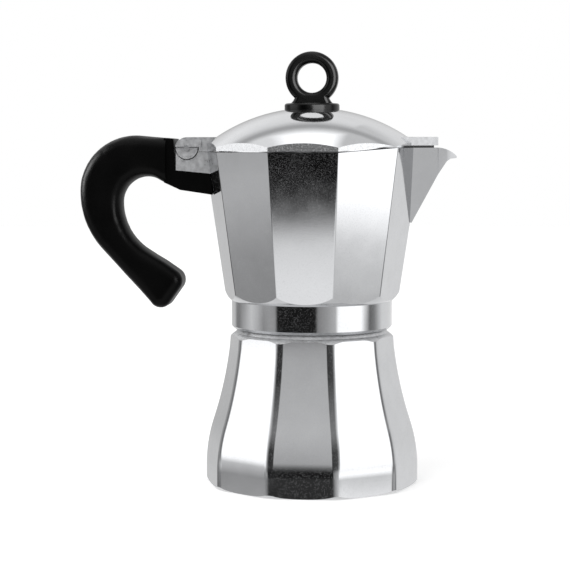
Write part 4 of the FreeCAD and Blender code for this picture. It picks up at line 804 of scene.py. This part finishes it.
# %% Describe the soft box overhead
OVERHEAD = [(-1, 1.2), (0, 1.7), (0.44, 1.6), (0.52, 0.85), (0.57, 0.5), (0.61, 0.48), (0.66, 0.72),
            (0.71, 0.92), (0.8, 0.97), (1, 0.97)]
BOX_WIDTH = [(-1, 0.45), (-0.65, 0.45), (-0.5, 0.95), (-0.27, 1.0), (-0.15, 1.7), (0.13, 1.7), (0.22, 0.74),
             (0.5, 0.74), (0.65, 0.45), (1, 0.45)]
BOX_START = 31
BOX_FULL = 40
print("soft box overhead from", BOX_START, "degrees up")

# %% [markdown]
# In the world's node tree a direction is first turned so that the camera stands at azimuth 0. Its azimuth
# then picks a level from every belt, and its elevation blends from one belt to the next, and at last to
# the soft box.

# %% Turn directions into angles
world = bpy.data.worlds.new("white studio")
scene.world = world
world.use_nodes = True
tree = world.node_tree
tree.nodes.clear()
way = add(tree, "ShaderNodeVectorRotate", {"rotation_type": "Z_AXIS"},
          Vector=add(tree, "ShaderNodeTexCoord").outputs["Generated"], Angle=-VIEW_TURN)
parts = add(tree, "ShaderNodeSeparateXYZ", Vector=way.outputs["Vector"])
front = add(tree, "ShaderNodeMath", {"operation": "MULTIPLY"}, n0=parts.outputs["Y"], n1=-1)
azimuth = add(tree, "ShaderNodeMath", {"operation": "ARCTAN2"}, n0=parts.outputs["X"],
              n1=front.outputs["Value"])
degrees = add(tree, "ShaderNodeMath", {"operation": "DEGREES"}, n0=azimuth.outputs["Value"]).outputs["Value"]
elevation = add(tree, "ShaderNodeMath", {"operation": "ARCSINE"}, n0=parts.outputs["Z"]).outputs["Value"]
print("angles from", len(tree.nodes), "nodes")

# %% Stack the belts and the soft box


def levels_along(place, levels, low, high):
    """Light levels over a value that runs between two ends, as a grey ramp."""
    share = add(tree, "ShaderNodeMapRange", Value=place, From_Min=low, From_Max=high)
    node = add(tree, "ShaderNodeValToRGB", Fac=share.outputs["Result"])
    while len(node.color_ramp.elements) < len(levels):
        node.color_ramp.elements.new(0.5)
    for stop, (value, level) in zip(node.color_ramp.elements, levels):
        stop.position = (value - low) / (high - low)
        stop.color = (level, level, level, 1)
    return node.outputs["Color"]


soft_box = add(tree, "ShaderNodeMix", {"data_type": "RGBA", "blend_type": "DARKEN"}, n0=1,
               n6=levels_along(parts.outputs["Y"], OVERHEAD, -1, 1),
               n7=levels_along(parts.outputs["X"], BOX_WIDTH, -1, 1)).outputs[2]
layers = [(height, levels_along(degrees, levels, -180, 180)) for height, levels in BELTS]
steps = [(below, height, layer) for (below, _), (height, layer) in zip(layers, layers[1:])]
studio = layers[0][1]
for low, high, layer in steps + [(BOX_START, BOX_FULL, soft_box)]:
    share = add(tree, "ShaderNodeMapRange", Value=elevation, From_Min=math.radians(low),
                From_Max=math.radians(high))
    studio = add(tree, "ShaderNodeMix", {"data_type": "RGBA"}, n0=share.outputs["Result"], n6=studio,
                 n7=layer).outputs[2]
print("studio of", len(layers), "belts and a soft box")

# %% [markdown]
# The light path decides who sees what. Mirrors and glass see the belts, the camera sees white, and
# everything that scatters light gets an even level.

# %% Join the world
ROOM_LEVEL = 0.8
path = add(tree, "ShaderNodeLightPath")
mirrored = add(tree, "ShaderNodeMath", {"operation": "MAXIMUM"}, n0=path.outputs["Is Glossy Ray"],
               n1=path.outputs["Is Transmission Ray"])
even = add(tree, "ShaderNodeMix", {"data_type": "RGBA"}, n0=mirrored.outputs["Value"],
           n6=(ROOM_LEVEL, ROOM_LEVEL, ROOM_LEVEL, 1), n7=studio)
seen = add(tree, "ShaderNodeMix", {"data_type": "RGBA"}, n0=path.outputs["Is Camera Ray"],
           n6=even.outputs[2], n7=(1, 1, 1, 1))
background = add(tree, "ShaderNodeBackground", Color=seen.outputs[2], Strength=1)
add(tree, "ShaderNodeOutputWorld", Surface=background.outputs["Background"])
print("world of", len(tree.nodes), "nodes")

# %% [markdown]
# The floor is a pale board that takes the pot's shadow. For the camera it glows a little, so that it ends
# up as white as the backdrop, and only the shadow stays. Mirrors don't see it, because the lowest belts
# already hold what the metal shows of it.

# %% Lay the floor
FLOOR_RADIUS = 2500
FLOOR_DROP = 0.05
GLOW = 0.34
bm = bmesh.new()
bmesh.ops.create_circle(bm, cap_ends=True, segments=96, radius=FLOOR_RADIUS * MM)
mesh = bpy.data.meshes.new("floor")
bm.to_mesh(mesh)
bm.free()
board, tree, shader = surface("pale board", "#f0f0f0", 0, 0.9)
path = add(tree, "ShaderNodeLightPath")
glow = add(tree, "ShaderNodeMath", {"operation": "MULTIPLY"}, n0=path.outputs["Is Camera Ray"], n1=GLOW)
plug(tree, shader, Emission_Color=(1, 1, 1, 1), Emission_Strength=glow.outputs["Value"])
mesh.materials.append(board)
floor = bpy.data.objects.new("floor", mesh)
scene.collection.objects.link(floor)
floor.location.z = -FLOOR_DROP * MM
floor.visible_glossy = False
print("floor of", 2 * FLOOR_RADIUS, "mm across")

# %% [markdown]
# One broad lamp overhead, a little to the left, gives the floor its shadow. Mirrors don't see it either.

# %% Hang the lamp
lamp = bpy.data.objects.new("soft box", bpy.data.lights.new("soft box", "AREA"))
stand(lamp, (-0.5, -0.5, 1.3), Vector((0, 0, 0.1)))
lamp.data.shape = "RECTANGLE"
lamp.data.size = 0.9
lamp.data.size_y = 0.7
lamp.data.energy = 6
lamp.visible_glossy = False
print("lamp at", [round(value, 2) for value in lamp.location])

# %% [markdown]
# Three more lamps draw the highlights of the resin: two small ones for the outside and the inside of the
# handle, and a broad one for the knob. Snoots keep them off the metal: each lamp lights one piece alone.

# %% Hang the lamps for the resin
UPPER_HANDLE = Vector((-0.05, 0, 0.17))
for name, lit, place, size, power in [
    ("left small lamp", "handle_grip", (-0.95, 0, 0.42), 0.6, 14),
    ("right small lamp", "handle_grip", (0.85, -0.65, 0.3), 0.5, 9),
    ("knob lamp", "knob_ring", (0.6, -0.95, 0.35), 1.0, 24),
]:
    small = bpy.data.objects.new(name, bpy.data.lights.new(name, "AREA"))
    stand(small, place, UPPER_HANDLE)
    small.data.size = size
    small.data.energy = power
    snoot = bpy.data.collections.new(name)
    snoot.objects.link(bpy.data.objects[lit])
    small.light_linking.receiver_collection = snoot
    print(name, "lights", lit)
